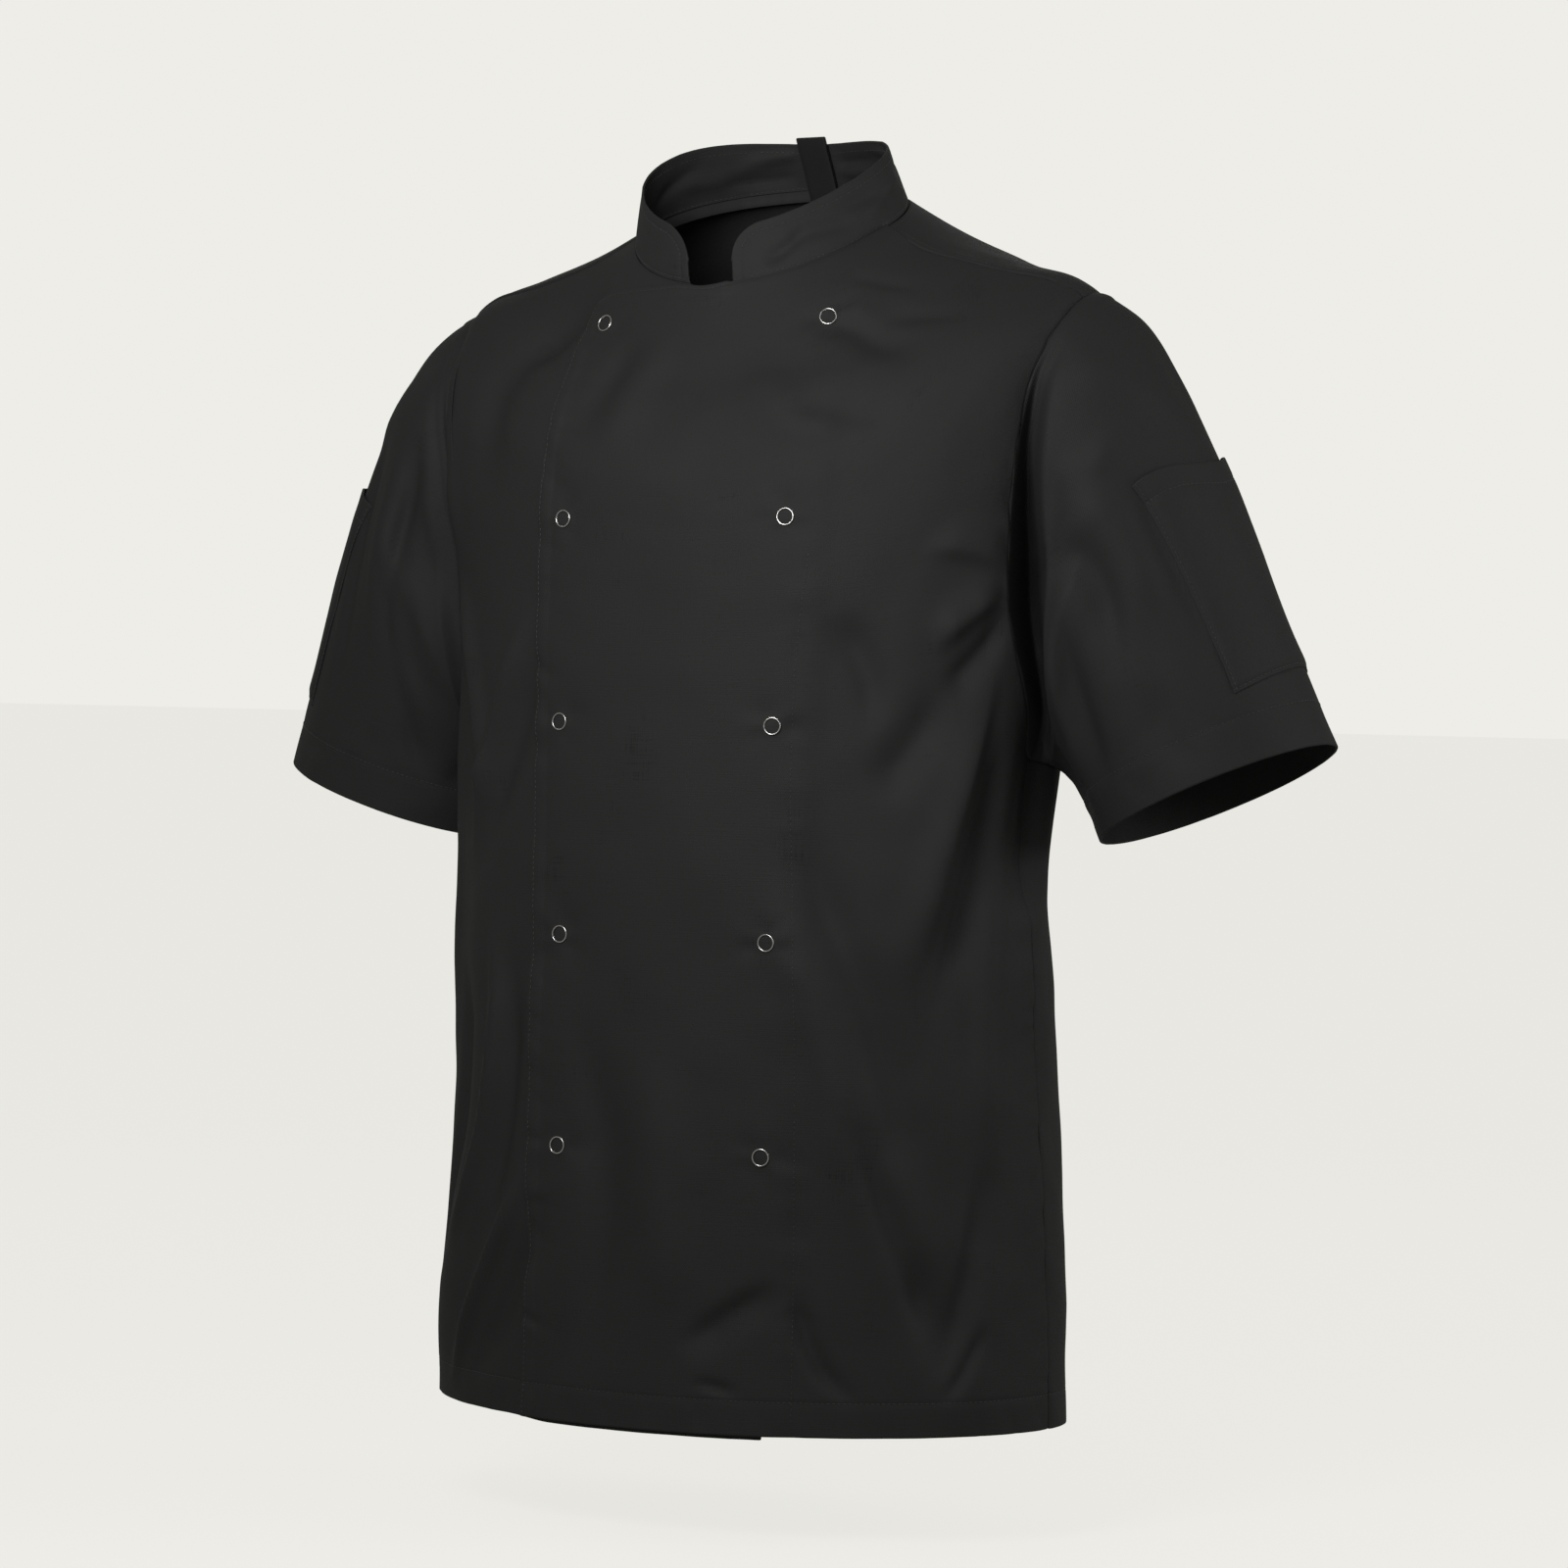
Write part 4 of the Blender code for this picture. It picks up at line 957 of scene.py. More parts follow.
def sleeve_form(share, row, side, cuff_height, rise_out):
    """Inner face of a sleeve, drawn on the wearer's left. share goes round from the pit over the
    front and row from 0 at the armhole to 1 at the cuff. Each line is a cubic from the armhole,
    where it leaves outwards and down, to the cuff's ellipse, with a valley beside the armhole."""
    share, row = np.broadcast_arrays(np.asarray(share, float), np.asarray(row, float))
    above_bottom = np.clip((POCKET_BOTTOM - row) / (POCKET_BOTTOM - POCKET_TOP), 0, 1)
    mouth = ease(row / POCKET_TOP) * above_bottom
    off_middle = share - np.mean(POCKET_SHARES)
    along = row - POCKET_TOP_SKEW * mouth * ease(np.abs(off_middle) / 0.16)
    share = share - POCKET_TAKE_IN * mouth * off_middle * ease((0.4 - np.abs(off_middle)) / 0.25)
    turn = 2 * np.pi * share
    edge, outward, into_hole = armhole_edge(share, side)
    leave_down = LEAVE_DOWN + LEAVE_UNDER * np.cos(turn)
    leave = [np.full_like(turn, LEAVE_OUT), -LEAVE_ROUND * np.sin(turn), -leave_down]
    leave = unit(np.stack(leave, axis=-1))
    climb = np.sum(leave * outward, axis=-1, keepdims=True)
    near_pit = ease((0.16 - np.minimum(share, 1 - share)) / 0.12)[..., None]
    gap = SEAM_GAP + (PIT_GAP - SEAM_GAP) * near_pit * 0.4
    start = edge + into_hole * (gap + CLOTH_WALL * np.clip(climb, 0, 1))
    cuff_middle = np.array([*CUFF_PLACE, cuff_height * MM])
    over = np.stack([-np.cos(turn) * CUFF_HALF_WIDTH, -np.sin(turn) * CUFF_HALF_DEPTH], axis=-1)
    cuff = cuff_middle + np.concatenate([over, rise_out * over[..., :1]], axis=-1)
    arrive = unit(np.array([rise_out, 0.10, -1.0]))
    span = np.linalg.norm(cuff - start, axis=-1, keepdims=True)
    ways = np.linspace(0, 1, 201)
    gone = cubic(ways, 0, LEAVE_PULL, 1, ARRIVE_PULL)
    t = np.interp(along, gone, ways)[..., None]
    points = cubic(t, start, span * leave * LEAVE_PULL, cuff, span * arrive * ARRIVE_PULL)
    middle = ARM_MIDDLE + (cuff_middle - ARM_MIDDLE) * along[..., None]
    inward = unit(middle - points)
    valley = np.zeros(share.shape)
    for first, last, depth in ARMHOLE_VALLEY:
        within = np.clip((share - first) / (last - first), 0, 1)
        valley += depth * MM * np.sin(np.pi * within) ** 2
    trough = ease(along / 0.13) * ease((0.30 - along) / 0.17)
    return points + inward * (valley * trough)[..., None]


def sleeve_outward(share, row, *shape):
    """Cross product of the form's change down the sleeve and its change round it."""
    round_it = sleeve_form(share + 0.004, row, *shape) - sleeve_form(share - 0.004, row, *shape)
    down_it = sleeve_form(share, row + 0.005, *shape) - sleeve_form(share, row - 0.005, *shape)
    return unit(np.cross(down_it, round_it))


def sleeve_folds(share, row, side):
    """Creases and unevenness of a sleeve, in metres outwards, quiet at both its ends."""
    seed = 56 if side == "left" else 66
    across, up = share * SLEEVE_ROUND, row * SLEEVE_LONG
    folds = crease_height(across, up, SLEEVE_CREASES[side], (SLEEVE_ROUND, SLEEVE_LONG))
    layers = (1.0, 0.8, 70, seed), (0.7, 1, 33, seed + 1), (0.25, 1, 16, seed + 2)
    seam = ease((0.5 - np.abs(share - 0.5)) / 0.05)
    calm = ease(row / 0.12) * (0.45 + 0.55 * ease((1 - row) / 0.2)) * seam
    return (folds + uneven_cloth(across, up, layers) * MM) * calm


def seam_drop(share, from_top, side):
    """The sleeve falls straight back behind the armhole seam, within a few millimetres, and comes
    forward again over the crease's width: two ease curves, times the depth at that share."""
    depth, width = np.moveaxis(smooth_table(DROP, share), -1, 0)
    run = from_top / MM
    fallen = DROP_SHARE[side] * depth * ease(run / 4.5) * (1 - ease((run - 5) / width))
    way = np.tile(unit(np.array(DROP_WAY)), (*share.shape, 1))
    way[share >= 0.5, 1] *= -1
    return (fallen * MM)[..., None] * way


def on_side(points, side):
    """The same grid on the wearer's right, still facing out: x changes sign and columns turn."""
    return points if side == "left" else points[:, ::-1] * np.array([-1, 1, 1])


def sleeve_piece(side, *shape):
    """The form raised by its hem, folds and seam allowances, whose three lines are added inside
    the armhole."""
    edge_share = np.arange(SLEEVE_COLUMNS) / SLEEVE_COLUMNS
    share, row = np.meshgrid(edge_share, 1 - SLEEVE_ROWS)
    form, outward = sleeve_form(share, row, side, *shape), sleeve_outward(share, row, side, *shape)
    _, up = run_lengths(form)
    from_cuff, from_top = up, up[-1:] - up
    across = share * SLEEVE_ROUND * MM
    seed = 50 if side == "left" else 60
    head = np.sin(np.pi * np.clip((share - 0.12) / 0.76, 0, 1)) ** 0.5
    lift = groove(from_cuff, CUFF_HEM) + groove(from_top, 0, 0.7, 1.8)
    lift += HEAD_PROUD * ease((9.6 - from_top / MM) / 2.2) * head
    lift += puckers(across, from_cuff, 16, 24, 0.5, seed)
    lift += puckers(across, from_top, 11, 17, 0.55, seed + 3)
    out = CLOTH_WALL + sleeve_folds(share, row, side) + lift * MM
    outside = form + outward * out[..., None] + seam_drop(share, from_top, side)
    edge, away, into_hole = armhole_edge(edge_share, side)
    allowance = [edge + (into_hole * on + away * off) * MM for on, off in SLEEVE_ALLOWANCE]
    outside = np.concatenate([outside, np.stack(allowance)])
    ends = (0, len(allowance))
    thick = np.pad(hemmed(from_cuff, CUFF_HEM), (ends, (0, 0)), constant_values=CLOTH_THICK)
    places = np.pad(np.stack([across, from_cuff], axis=-1), (ends, (0, 0), (0, 0)), "edge")
    if side == "right":
        places, from_cuff = places[:, ::-1] * np.array([-1, 1]), from_cuff[:, ::-1]
    cloth = tilted(on_side(outside, side))
    name, turn = "twill_sleeve_" + side, SLEEVE_ROUND * MM
    piece = sewn_wall(name, cloth, thick, places, twill, closed=True, weave_turn=turn)
    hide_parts("sleeve_" + side)
    return piece, cloth[: len(SLEEVE_ROWS)], from_cuff


sleeves = {side: sleeve_piece(side, *shape) for side, *shape in SLEEVES}

# Sleeve pockets ---------------------------------------------------------------------------------
# A patch of twill on the outer side of each upper arm, hemmed across its mouth, edge-stitched
# down its sides and across its bottom, and divided for pens. Its mouth stands a little open.
PATCH_LIFT = CLOTH_WALL + 0.35 * MM
POCKET_EASE = 2.5
POCKET_MOUTH_HEM, POCKET_STITCH = 13, 2  # millimetres from its mouth, and from its other edges
POCKET_WIDE, POCKET_LONG = 110, 130  # millimetres that its grid lines are spaced by
POCKET_EDGE_LINES = (0.6, 1.4, 2.0, 2.8, 4, 6)
POCKET_MOUTH_LINES = (0.6, 1.6, 3.2, 6, 9, 12.2, 13, 13.8)
POCKET_ACROSS = stations(1, 40, POCKET_WIDE, POCKET_EDGE_LINES, POCKET_EDGE_LINES)
POCKET_UP = stations(1, 44, POCKET_LONG, POCKET_EDGE_LINES, POCKET_MOUTH_LINES)
PEN_LINE = 0.42  # share of the way across the pocket from its front edge


def pocket_piece(side, *shape):
    """A part of the sleeve's form, raised off it, a little open at the mouth and pressed thin and
    low along the other edges."""
    round_it, up_it = np.meshgrid(POCKET_ACROSS, POCKET_UP)
    slant = (1 - round_it) * up_it**2
    share = POCKET_SHARES[0] + (POCKET_SHARES[1] - POCKET_SHARES[0]) * round_it - 0.014 * slant
    row = POCKET_BOTTOM + (POCKET_TOP - POCKET_BOTTOM) * up_it - 0.042 * slant
    form, outward = sleeve_form(share, row, side, *shape), sleeve_outward(share, row, side, *shape)
    across, up = run_lengths(form)
    from_mouth, from_edge = up[-1:] - up, np.minimum(across, across[:, -1:] - across)
    seed = 70 if side == "left" else 80
    pressed = np.exp(-((np.minimum(from_edge, up) / MM / 3) ** 2))
    lift = POCKET_EASE * np.sin(np.pi * round_it) * (1 - ease((1 - up_it) / 0.7)) - 1.15 * pressed
    lift += groove(from_edge, POCKET_STITCH, 0.25, 0.8) + groove(up, POCKET_STITCH, 0.25, 0.8)
    lift += groove(from_mouth, POCKET_MOUTH_HEM)
    lift += puckers(across, from_mouth, 18, 16, 0.5, seed + 4)
    lift += puckers(across, up, 14, 9, 0.3, seed) + puckers(up, from_edge, 15, 9, 0.3, seed + 2)
    inside = ease(from_edge / MM / 20) * ease(up / MM / 20)
    lift += 0.5 * soft_noise(across / MM, up / MM, 34, seed + 6) * inside
    off_line = (round_it - PEN_LINE) * POCKET_WIDE / 1.3
    lift -= 0.3 * np.exp(-(off_line**2)) * ease((from_mouth / MM - 1) / 3)
    out = PATCH_LIFT + CLOTH_WALL + sleeve_folds(share, row, side) + lift * MM
    outside = form + outward * out[..., None]
    thick = hemmed(from_mouth, POCKET_MOUTH_HEM) * (1 - 0.4 * pressed)
    places = np.stack([across, up], axis=-1)
    fields = [from_mouth, across, up]
    if side == "right":
        places, thick = places[:, ::-1] * np.array([-1, 1]), thick[:, ::-1]
        fields = [from_mouth[:, ::-1], (across[:, -1:] - across)[:, ::-1], up[:, ::-1]]
    cloth = tilted(on_side(outside, side))
    piece = sewn_wall("twill_pocket_" + side, cloth, thick, places, twill)
    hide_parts("pocket_" + side)
    return piece, cloth, fields


pockets = {side: pocket_piece(side, *shape) for side, *shape in SLEEVES}

# Collar -----------------------------------------------------------------------------------------
# A stand collar of two layers of twill with rounded front ends, open at the front, topstitched
# round its edge and along its seam. It stands on the neck seam and leans in at the back.
COLLAR_WALL, COLLAR_THICK = 2.0 * MM, 1.6 * MM
COLLAR_HEIGHTS = ((0, 33), (90, 38), (150, 37), (215, 31))  # millimetres from an end, height
COLLAR_LEAN_FRONT, COLLAR_LEAN_BACK, COLLAR_LEAN_RIGHT = 0.08, 0.32, 0.13
COLLAR_CORNER = 19 * MM
COLLAR_STITCH, COLLAR_SEAM_STITCH = 5.0, 2.1  # millimetres from its edge and from its seam
COLLAR_TOP_LINES = (0.7, 1.7, 3.0, 4.2, 5.0, 5.8, 7)
COLLAR_END_LINES = (0.7, 1.7, 3.2, 4.2, 5.0, 5.8, 7)
COLLAR_ROWS = stations(1, 13, 38, (0.7, 1.4, 2.1, 3.2, 5), COLLAR_TOP_LINES)
COLLAR_ALLOWANCE = ((0.5, 0.8), (1.5, 1.7), (6.0, 2.2))  # past the seam and inwards, millimetres
# from along and up, to along and up, bend, width before and after the line, height; millimetres
COLLAR_CREASES = (
    (178, 9, 238, 11, 2, 3, 5, -2.8),
    (200, 20, 252, 17, -2, 3, 5, 2.5),
    (150, 25, 206, 28, 2, 3, 4, -2.1),
    (236, 24, 300, 20, 3, 4, 5, -2.4),
    (262, 10, 320, 13, -2, 4, 5, 2.0),
    (92, 12, 140, 22, 3, 4, 6, 3.4),
    (70, 26, 118, 14, 3, 4, 7, -3.2),
    (20, 10, 48, 22, -2, 4, 5, -2.8),
    (300, 14, 352, 20, -3, 4, 6, -2.1),
    (330, 24, 372, 12, 2, 4, 5, 1.8),
    (40, 20, 84, 12, 2, 5, 6, -2.6),
)


def collar_form(index):
    """Foot of the collar, its way up and its height, at in-between places of the neck's lattice."""
    left = neck_angles(angle_at(LEFT_COLLAR_END, 1.0))
    right = 180 - neck_angles(angle_at(RIGHT_COLLAR_END, 1.0))[::-1]
    behind = np.linspace(left[-1], right[0], 2 * BACK_NECK_CELLS + 1)[1:-1]
    lattice = np.concatenate([left, behind, right])
    angle = np.interp(index, np.arange(len(lattice)), lattice)
    seam = body_form(angle, 1.0)
    round_it = unit(body_form(angle + 0.2, 1.0) - body_form(angle - 0.2, 1.0))
    outward = body_outward(angle, 1.0)
    into_hole = np.cross(outward, round_it)
    level_out = unit(np.cross(round_it, np.array([0, 0, 1.0])))
    backness = np.sqrt((1 + np.sin(np.radians(angle))) / 2)
    lean = COLLAR_LEAN_FRONT + (COLLAR_LEAN_BACK - COLLAR_LEAN_FRONT) * backness
    up = unit(np.array([-COLLAR_LEAN_RIGHT, 0, 1.0]) - lean[:, None] * level_out)
    climb = np.sum(up * outward, axis=-1, keepdims=True)
    foot = seam + into_hole * (SEAM_GAP + COLLAR_WALL * np.clip(climb, 0, 1))
    distance = np.concatenate([[0], np.cumsum(np.linalg.norm(np.diff(seam, axis=0), axis=-1))])
    from_end = np.minimum(distance, distance[-1] - distance)
    height = smooth_table(COLLAR_HEIGHTS, from_end / MM)[:, 0] * MM
    round_off = np.clip(1 - from_end / COLLAR_CORNER, 0, 1)
    height = height - COLLAR_CORNER * (1 - np.sqrt(1 - round_off**2))
    return foot, up, height, distance, from_end


def collar_piece():
    """The form raised by its stitches and creases, except beside the hang loop, with three lines
    of allowance tucked in below its seam."""
    cells = 2 * NECK_CELLS + 2 * BACK_NECK_CELLS
    index = stations(cells, 7, 12.5, COLLAR_END_LINES, COLLAR_END_LINES)
    foot, up, height, distance, from_end = collar_form(index)
    form = foot[None] + up[None] * height[None, :, None] * COLLAR_ROWS[:, None, None]
    outward = grid_outward(form)
    rise = height[None] * COLLAR_ROWS[:, None]
    across = np.broadcast_to(distance, rise.shape)
    border = np.concatenate([form[:, 0], form[-1], form[:, -1]])
    from_border = np.linalg.norm(form[:, :, None] - border, axis=-1).min(axis=-1)
    lift = groove(from_border, COLLAR_STITCH, 0.35) + seam_groove(rise)
    lift += groove(rise, COLLAR_SEAM_STITCH, 0.3, 0.7)
    lift += puckers(across, from_border, 13, 8, 0.35, 91) + puckers(across, rise, 15, 9, 0.4, 93)
    bend = crease_height(across / MM, rise / MM, COLLAR_CREASES) / MM
    bend += 0.7 * soft_noise(across / MM, rise / MM, 27, 95)
    beside_loop = ease((np.abs(across - distance[len(distance) // 2]) / MM - 11) / 10)
    lift += bend * ease(from_border / MM / 9) * ease(rise / MM / 6) * beside_loop
    outside = form + outward * ((COLLAR_WALL / MM + lift) * MM)[..., None]
    drawn = groove(from_border, COLLAR_STITCH, 1.0) + groove(rise, COLLAR_SEAM_STITCH, 1.0, 0.7)
    every = np.ones(len(distance))
    tucked = allowance_lines(outside[0], outside[1], outward[0], every, COLLAR_ALLOWANCE)
    below = (len(tucked), 0)
    thick = np.pad(COLLAR_THICK + 0.35 * MM * drawn, (below, (0, 0)), constant_values=CLOTH_THICK)
    places = np.pad(np.stack([across, rise], axis=-1), (below, (0, 0), (0, 0)), "edge")
    cloth = tilted(np.concatenate([np.stack(tucked[::-1]), outside]))
    piece = sewn_wall("twill_collar", cloth, thick, places, twill)
    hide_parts("collar")
    kept = slice(len(tucked), None)
    return piece, cloth[kept], thick[kept], (from_border, rise, from_end)


collar, collar_cloth, collar_thick, collar_runs = collar_piece()

# Hang loop --------------------------------------------------------------------------------------
# A twill tape folded in two and sewn inside the middle of the collar's back, so that its fold
# stands a little above the collar and its two ends reach down past the neck seam.
LOOP_WIDTH, LOOP_TAPE, LOOP_SLIT = 19 * MM, 1.0 * MM, 0.6 * MM
LOOP_ABOVE, LOOP_BELOW = 5 * MM, 7 * MM
LOOP_EASE, LOOP_GAP = 0.8 * MM, 0.35 * MM


def tape_finish():
    """Black tape: fine ribs across it and one slanted wave over them, a little shinier than the
    twill."""
    made, tree, shader = new_finish(
        "black_tape", Roughness=0.62, Specular_IOR_Level=0.14, Sheen_Weight=0.006
    )
    place = node(tree, "UVMap", {"uv_map": "weave"}).outputs["UV"]
    slant = node(tree, "Mapping", Vector=place, Rotation=(0, 0, np.radians(45))).outputs[0]
    bars = ribs(tree, slant, 1.1, Distortion=0.4)
    height = added(tree, ribs(tree, place, 0.7, "Y", Distortion=0.5), 0.7, bars)
    tone = tones(tree, bars, (0.009, 0.009, 0.009), (0.019, 0.019, 0.019))
    wire(tree, shader, Base_Color=tone, Normal=relief(tree, height, 0.6, 0.08))
    return made


def hang_loop_piece():
    """A strip along a path: up the inside of the collar, round a half circle and down again."""
    middle = NECK_CELLS + BACK_NECK_CELLS
    foot, up, height = (run[middle] for run in collar_form(np.arange(2 * middle + 1))[:3])
    sideways = np.array([1.0, 0, 0])
    out = np.cross(-sideways, up)
    near = -LOOP_GAP - LOOP_EASE
    far = near - LOOP_TAPE - LOOP_SLIT - LOOP_TAPE
    bend = (near - far) / 2
    top = height + LOOP_ABOVE + LOOP_TAPE + LOOP_SLIT / 2
    rises = np.linspace(-LOOP_BELOW, top - bend, 34)
    turn = np.linspace(0, np.pi, 13)[1:-1]
    up_near, down_far = np.full_like(rises, near), np.full_like(rises, far)
    off = np.concatenate([up_near, near - bend + bend * np.cos(turn), down_far])
    rise = np.concatenate([rises, top - bend + bend * np.sin(turn), rises[::-1]])
    wave = 0.35 * MM * np.sin(rise / MM / 6.0) * ease((rise + LOOP_BELOW) / (10 * MM))
    line = foot + out * (off + wave * 0.5)[:, None] + up * rise[:, None]
    half = np.linspace(1, -1, 9) * LOOP_WIDTH / 2
    outside = tilted(line[:, None] + sideways * half[None, :, None])
    run = np.concatenate([[0], np.cumsum(np.linalg.norm(np.diff(line, axis=0), axis=-1))])
    places = np.stack(np.broadcast_arrays(half[None], run[:, None]), axis=-1)
    thick = np.full(outside.shape[:2], LOOP_TAPE)
    return sewn_wall("tape_loop", outside, thick, places, tape_finish())


hang_loop = hang_loop_piece()
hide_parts("hang_loop")

# Snaps ------------------------------------------------------------------------------------------
# Ten ring snaps in two columns: a bright ring of pressed steel each, clinched through both layers
# of the lap or facing, so that the twill shows inside it.
SNAP_RING, SNAP_WIRE, SNAP_HALF_HEIGHT = 4.95 * MM, 0.45 * MM, 0.5 * MM
RING_RISE = 0.35 * MM


def steel_finish():
    """Bright pressed steel, its roughness and height broken by fine noise."""
    made, tree, shader = new_finish("ring_steel", Metallic=1.0)
    specks = grain(tree, node(tree, "TexCoord").outputs["Object"], 900.0, 3.0)
    tone = tones(tree, specks, (0.56, 0.55, 0.53), (0.80, 0.79, 0.77))
    rough = node(tree, "MapRange", Value=specks, To_Min=0.16, To_Max=0.34).outputs[0]
    wire(tree, shader, Base_Color=tone, Roughness=rough, Normal=relief(tree, specks, 0.25, 0.04))
    return made


def snap_frame(side, row):
    """Middle of a ring and its across, up and outward directions, from the plane that lies closest
    to the cloth under it."""
    angle, level, _ = snap_place(side, row)
    way = body_outward(angle, level)
    start = tilted(body_form(angle, level))
    points = front_left_cloth.reshape(-1, 3)
    beside = points - start - ((points - start) @ way)[:, None] * way
    points = points[np.linalg.norm(beside, axis=-1) < SNAP_RING + SNAP_WIRE]
    centre = points.mean(axis=0)
    facing = np.linalg.svd(points - centre)[2][2]
    facing = facing * np.sign(facing @ way)
    middle = start + way * ((centre - start) @ facing) / (way @ facing) + facing * RING_RISE
    across = unit(np.cross(np.array([0, 0, 1.0]), facing))
    return middle, across, np.cross(facing, across), facing

def ring_piece(side, row, steel):
    """An oval section, a little higher than it is wide, carried round the ring's middle."""
    middle, across, up, outward = snap_frame(side, row)
    turn = np.linspace(0, 2 * np.pi, 16, endpoint=False)
    radius = (SNAP_RING + SNAP_WIRE * np.cos(turn))[:, None]
    height = (SNAP_HALF_HEIGHT * np.sin(turn))[:, None]
    way = np.linspace(0, 2 * np.pi, 72, endpoint=False)[:, None, None]
    points = middle + radius * (np.cos(way) * across + np.sin(way) * up) + height * outward
    index = np.arange(way.size * turn.size).reshape(way.size, turn.size)
    onward, over = np.roll(index, -1, axis=0), np.roll(index, -1, axis=1)
    faces = np.stack([index, onward, np.roll(onward, -1, axis=1), over], axis=-1).reshape(-1, 4)
    name = f"steel_snap_{row + 1}_{side}"
    piece = new_piece(name, points.reshape(-1, 3).tolist(), faces.tolist(), steel)
    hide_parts(f"snap_{row + 1}_{side}")


ring_steel = steel_finish()
for row in range(len(SNAP_ROWS)):
    for side in ("right", "left"):
        ring_piece(side, row, ring_steel)

# Stitches ---------------------------------------------------------------------------------------
# Black spun polyester thread in a lockstitch, three stitches to the centimetre: each shows as
# a short rounded bar whose ends dip into the cloth.
STITCH_PITCH, STITCH_LENGTH, STITCH_RADIUS = 3.3 * MM, 2.2 * MM, 0.2 * MM


def thread_finish():
    """Black thread, shinier than the cloth, its tone uneven from stitch to stitch."""
    made, tree, shader = new_finish("black_thread", Roughness=0.5, Sheen_Weight=0.1)
    strands = grain(tree, node(tree, "TexCoord").outputs["Object"], 2600.0, 2.0)
    tone = tones(tree, strands, (0.014, 0.014, 0.014), (0.032, 0.032, 0.031))
    wire(tree, shader, Base_Color=tone, Normal=relief(tree, strands, 0.5, 0.05))
    return made


thread = thread_finish()


def crossing(field, value):
    """Row place at which each column of a field that rises with the rows reaches the value."""
    low = np.clip((field < value).sum(axis=0) - 1, 0, len(field) - 2)
    columns = np.arange(field.shape[1])
    below, above = field[low, columns], field[low + 1, columns]
    return low + np.clip((value - below) / np.maximum(above - below, 1e-9), 0, 1)


def read_grid(grid, rows, columns):
    """A grid at in-between places, the mean of its four nearest points by their shares."""
    row = np.clip(rows.astype(int), 0, grid.shape[0] - 2)
    column = np.clip(columns.astype(int), 0, grid.shape[1] - 2)
    s, t = (columns - column)[:, None], (rows - row)[:, None]
    low = grid[row, column] * (1 - s) + grid[row, column + 1] * s
    high = grid[row + 1, column] * (1 - s) + grid[row + 1, column + 1] * s
    return low * (1 - t) + high * t


def stitch_line(cloth, rows, columns, inner=None, skip=0.0):
    """Middle, direction and outward way of every stitch of a line through these grid places."""
    outward = grid_outward(cloth)
    if inner is not None:
        cloth, outward = cloth - outward * inner[..., None], -outward
    points, ways = read_grid(cloth, rows, columns), read_grid(outward, rows, columns)
    run = np.concatenate([[0], np.cumsum(np.linalg.norm(np.diff(points, axis=0), axis=-1))])
    middles = np.arange(skip + STITCH_PITCH / 2, run[-1] - skip, STITCH_PITCH)

    def at(values, spots):
        """The values at those distances along the line."""
        return np.stack([np.interp(spots, run, values[:, axis]) for axis in range(3)], axis=-1)

    ahead, behind = middles + STITCH_LENGTH / 2, middles - STITCH_LENGTH / 2
    direction = unit(at(points, ahead) - at(points, behind))
    return at(points, middles), direction, unit(at(ways, middles))


def stitches_piece(name, lines):
    """Every stitch is four rings of five points along its direction: thin and low at its ends."""
    middle, direction, outward = (np.concatenate(part) for part in zip(*lines))
    side = np.cross(direction, outward)
    along = np.array([-0.5, -0.32, 0.32, 0.5]) * STITCH_LENGTH
    size = np.array([0.45, 1, 1, 0.45]) * STITCH_RADIUS
    height = np.array([-0.16, 0.10, 0.10, -0.16]) * MM
    turn = np.linspace(0, 2 * np.pi, 5, endpoint=False)[:, None]
    centre = middle[:, None] + direction[:, None] * along[:, None]
    centre = centre + outward[:, None] * height[:, None]
    spoke = side[:, None, None] * np.cos(turn) + outward[:, None, None] * np.sin(turn)
    points = centre[:, :, None] + spoke * size[None, :, None, None]
    index = np.arange(len(middle) * along.size * turn.size).reshape(-1, along.size, turn.size)
    nearer, farther = index[:, :-1], index[:, 1:]
    walls = [nearer, farther, np.roll(farther, -1, axis=2), np.roll(nearer, -1, axis=2)]
    walls = np.stack(walls, axis=-1).reshape(-1, 4)
    ends = np.concatenate([index[:, 0], index[:, 3, ::-1]])
    piece = new_piece(name, points.reshape(-1, 3).tolist(), walls.tolist() + ends.tolist(), thread)
    return piece


def across_line(cloth, field, millimetres, keep=slice(None), **more):
    """A stitch line that runs along the rows, where the field reaches that many millimetres."""
    columns = np.arange(cloth.shape[1], dtype=float)[keep]
    return stitch_line(cloth, crossing(field, millimetres * MM)[keep], columns, **more)


def up_line(cloth, field, millimetres, keep=slice(None), **more):
    """A stitch line that runs up the columns, where the field reaches that many millimetres."""
    rows = np.arange(cloth.shape[0], dtype=float)[keep]
    return stitch_line(cloth, rows, crossing(field.T, millimetres * MM)[keep], **more)


right_lines = [across_line(front_right_cloth, front_right_from_hem, HEM_DEPTH)]
right_thread = stitches_piece("thread_front_right", right_lines)

from_edge, from_hem, from_top, past_facing = front_left_runs
lap_columns = slice(2, int(np.searchsorted(FRONT_COLUMNS, LAP_CELLS)))
lap_rows = slice(0, len(FRONT_ROWS) - 5)
FACING_ROW = 20  # of the front's lattice, at the facing's top level
facing_rows = slice(4, int(np.searchsorted(FRONT_ROWS, FACING_ROW)))
front_lines = [
    across_line(front_left_cloth, from_hem, HEM_DEPTH),
    up_line(front_left_cloth, from_edge, EDGE_STITCH, lap_rows),
    up_line(front_left_cloth, past_facing, 0, facing_rows),
    across_line(front_left_cloth[::-1], from_top[::-1], EDGE_STITCH, lap_columns),
]
left_thread = stitches_piece("thread_front_left", front_lines)

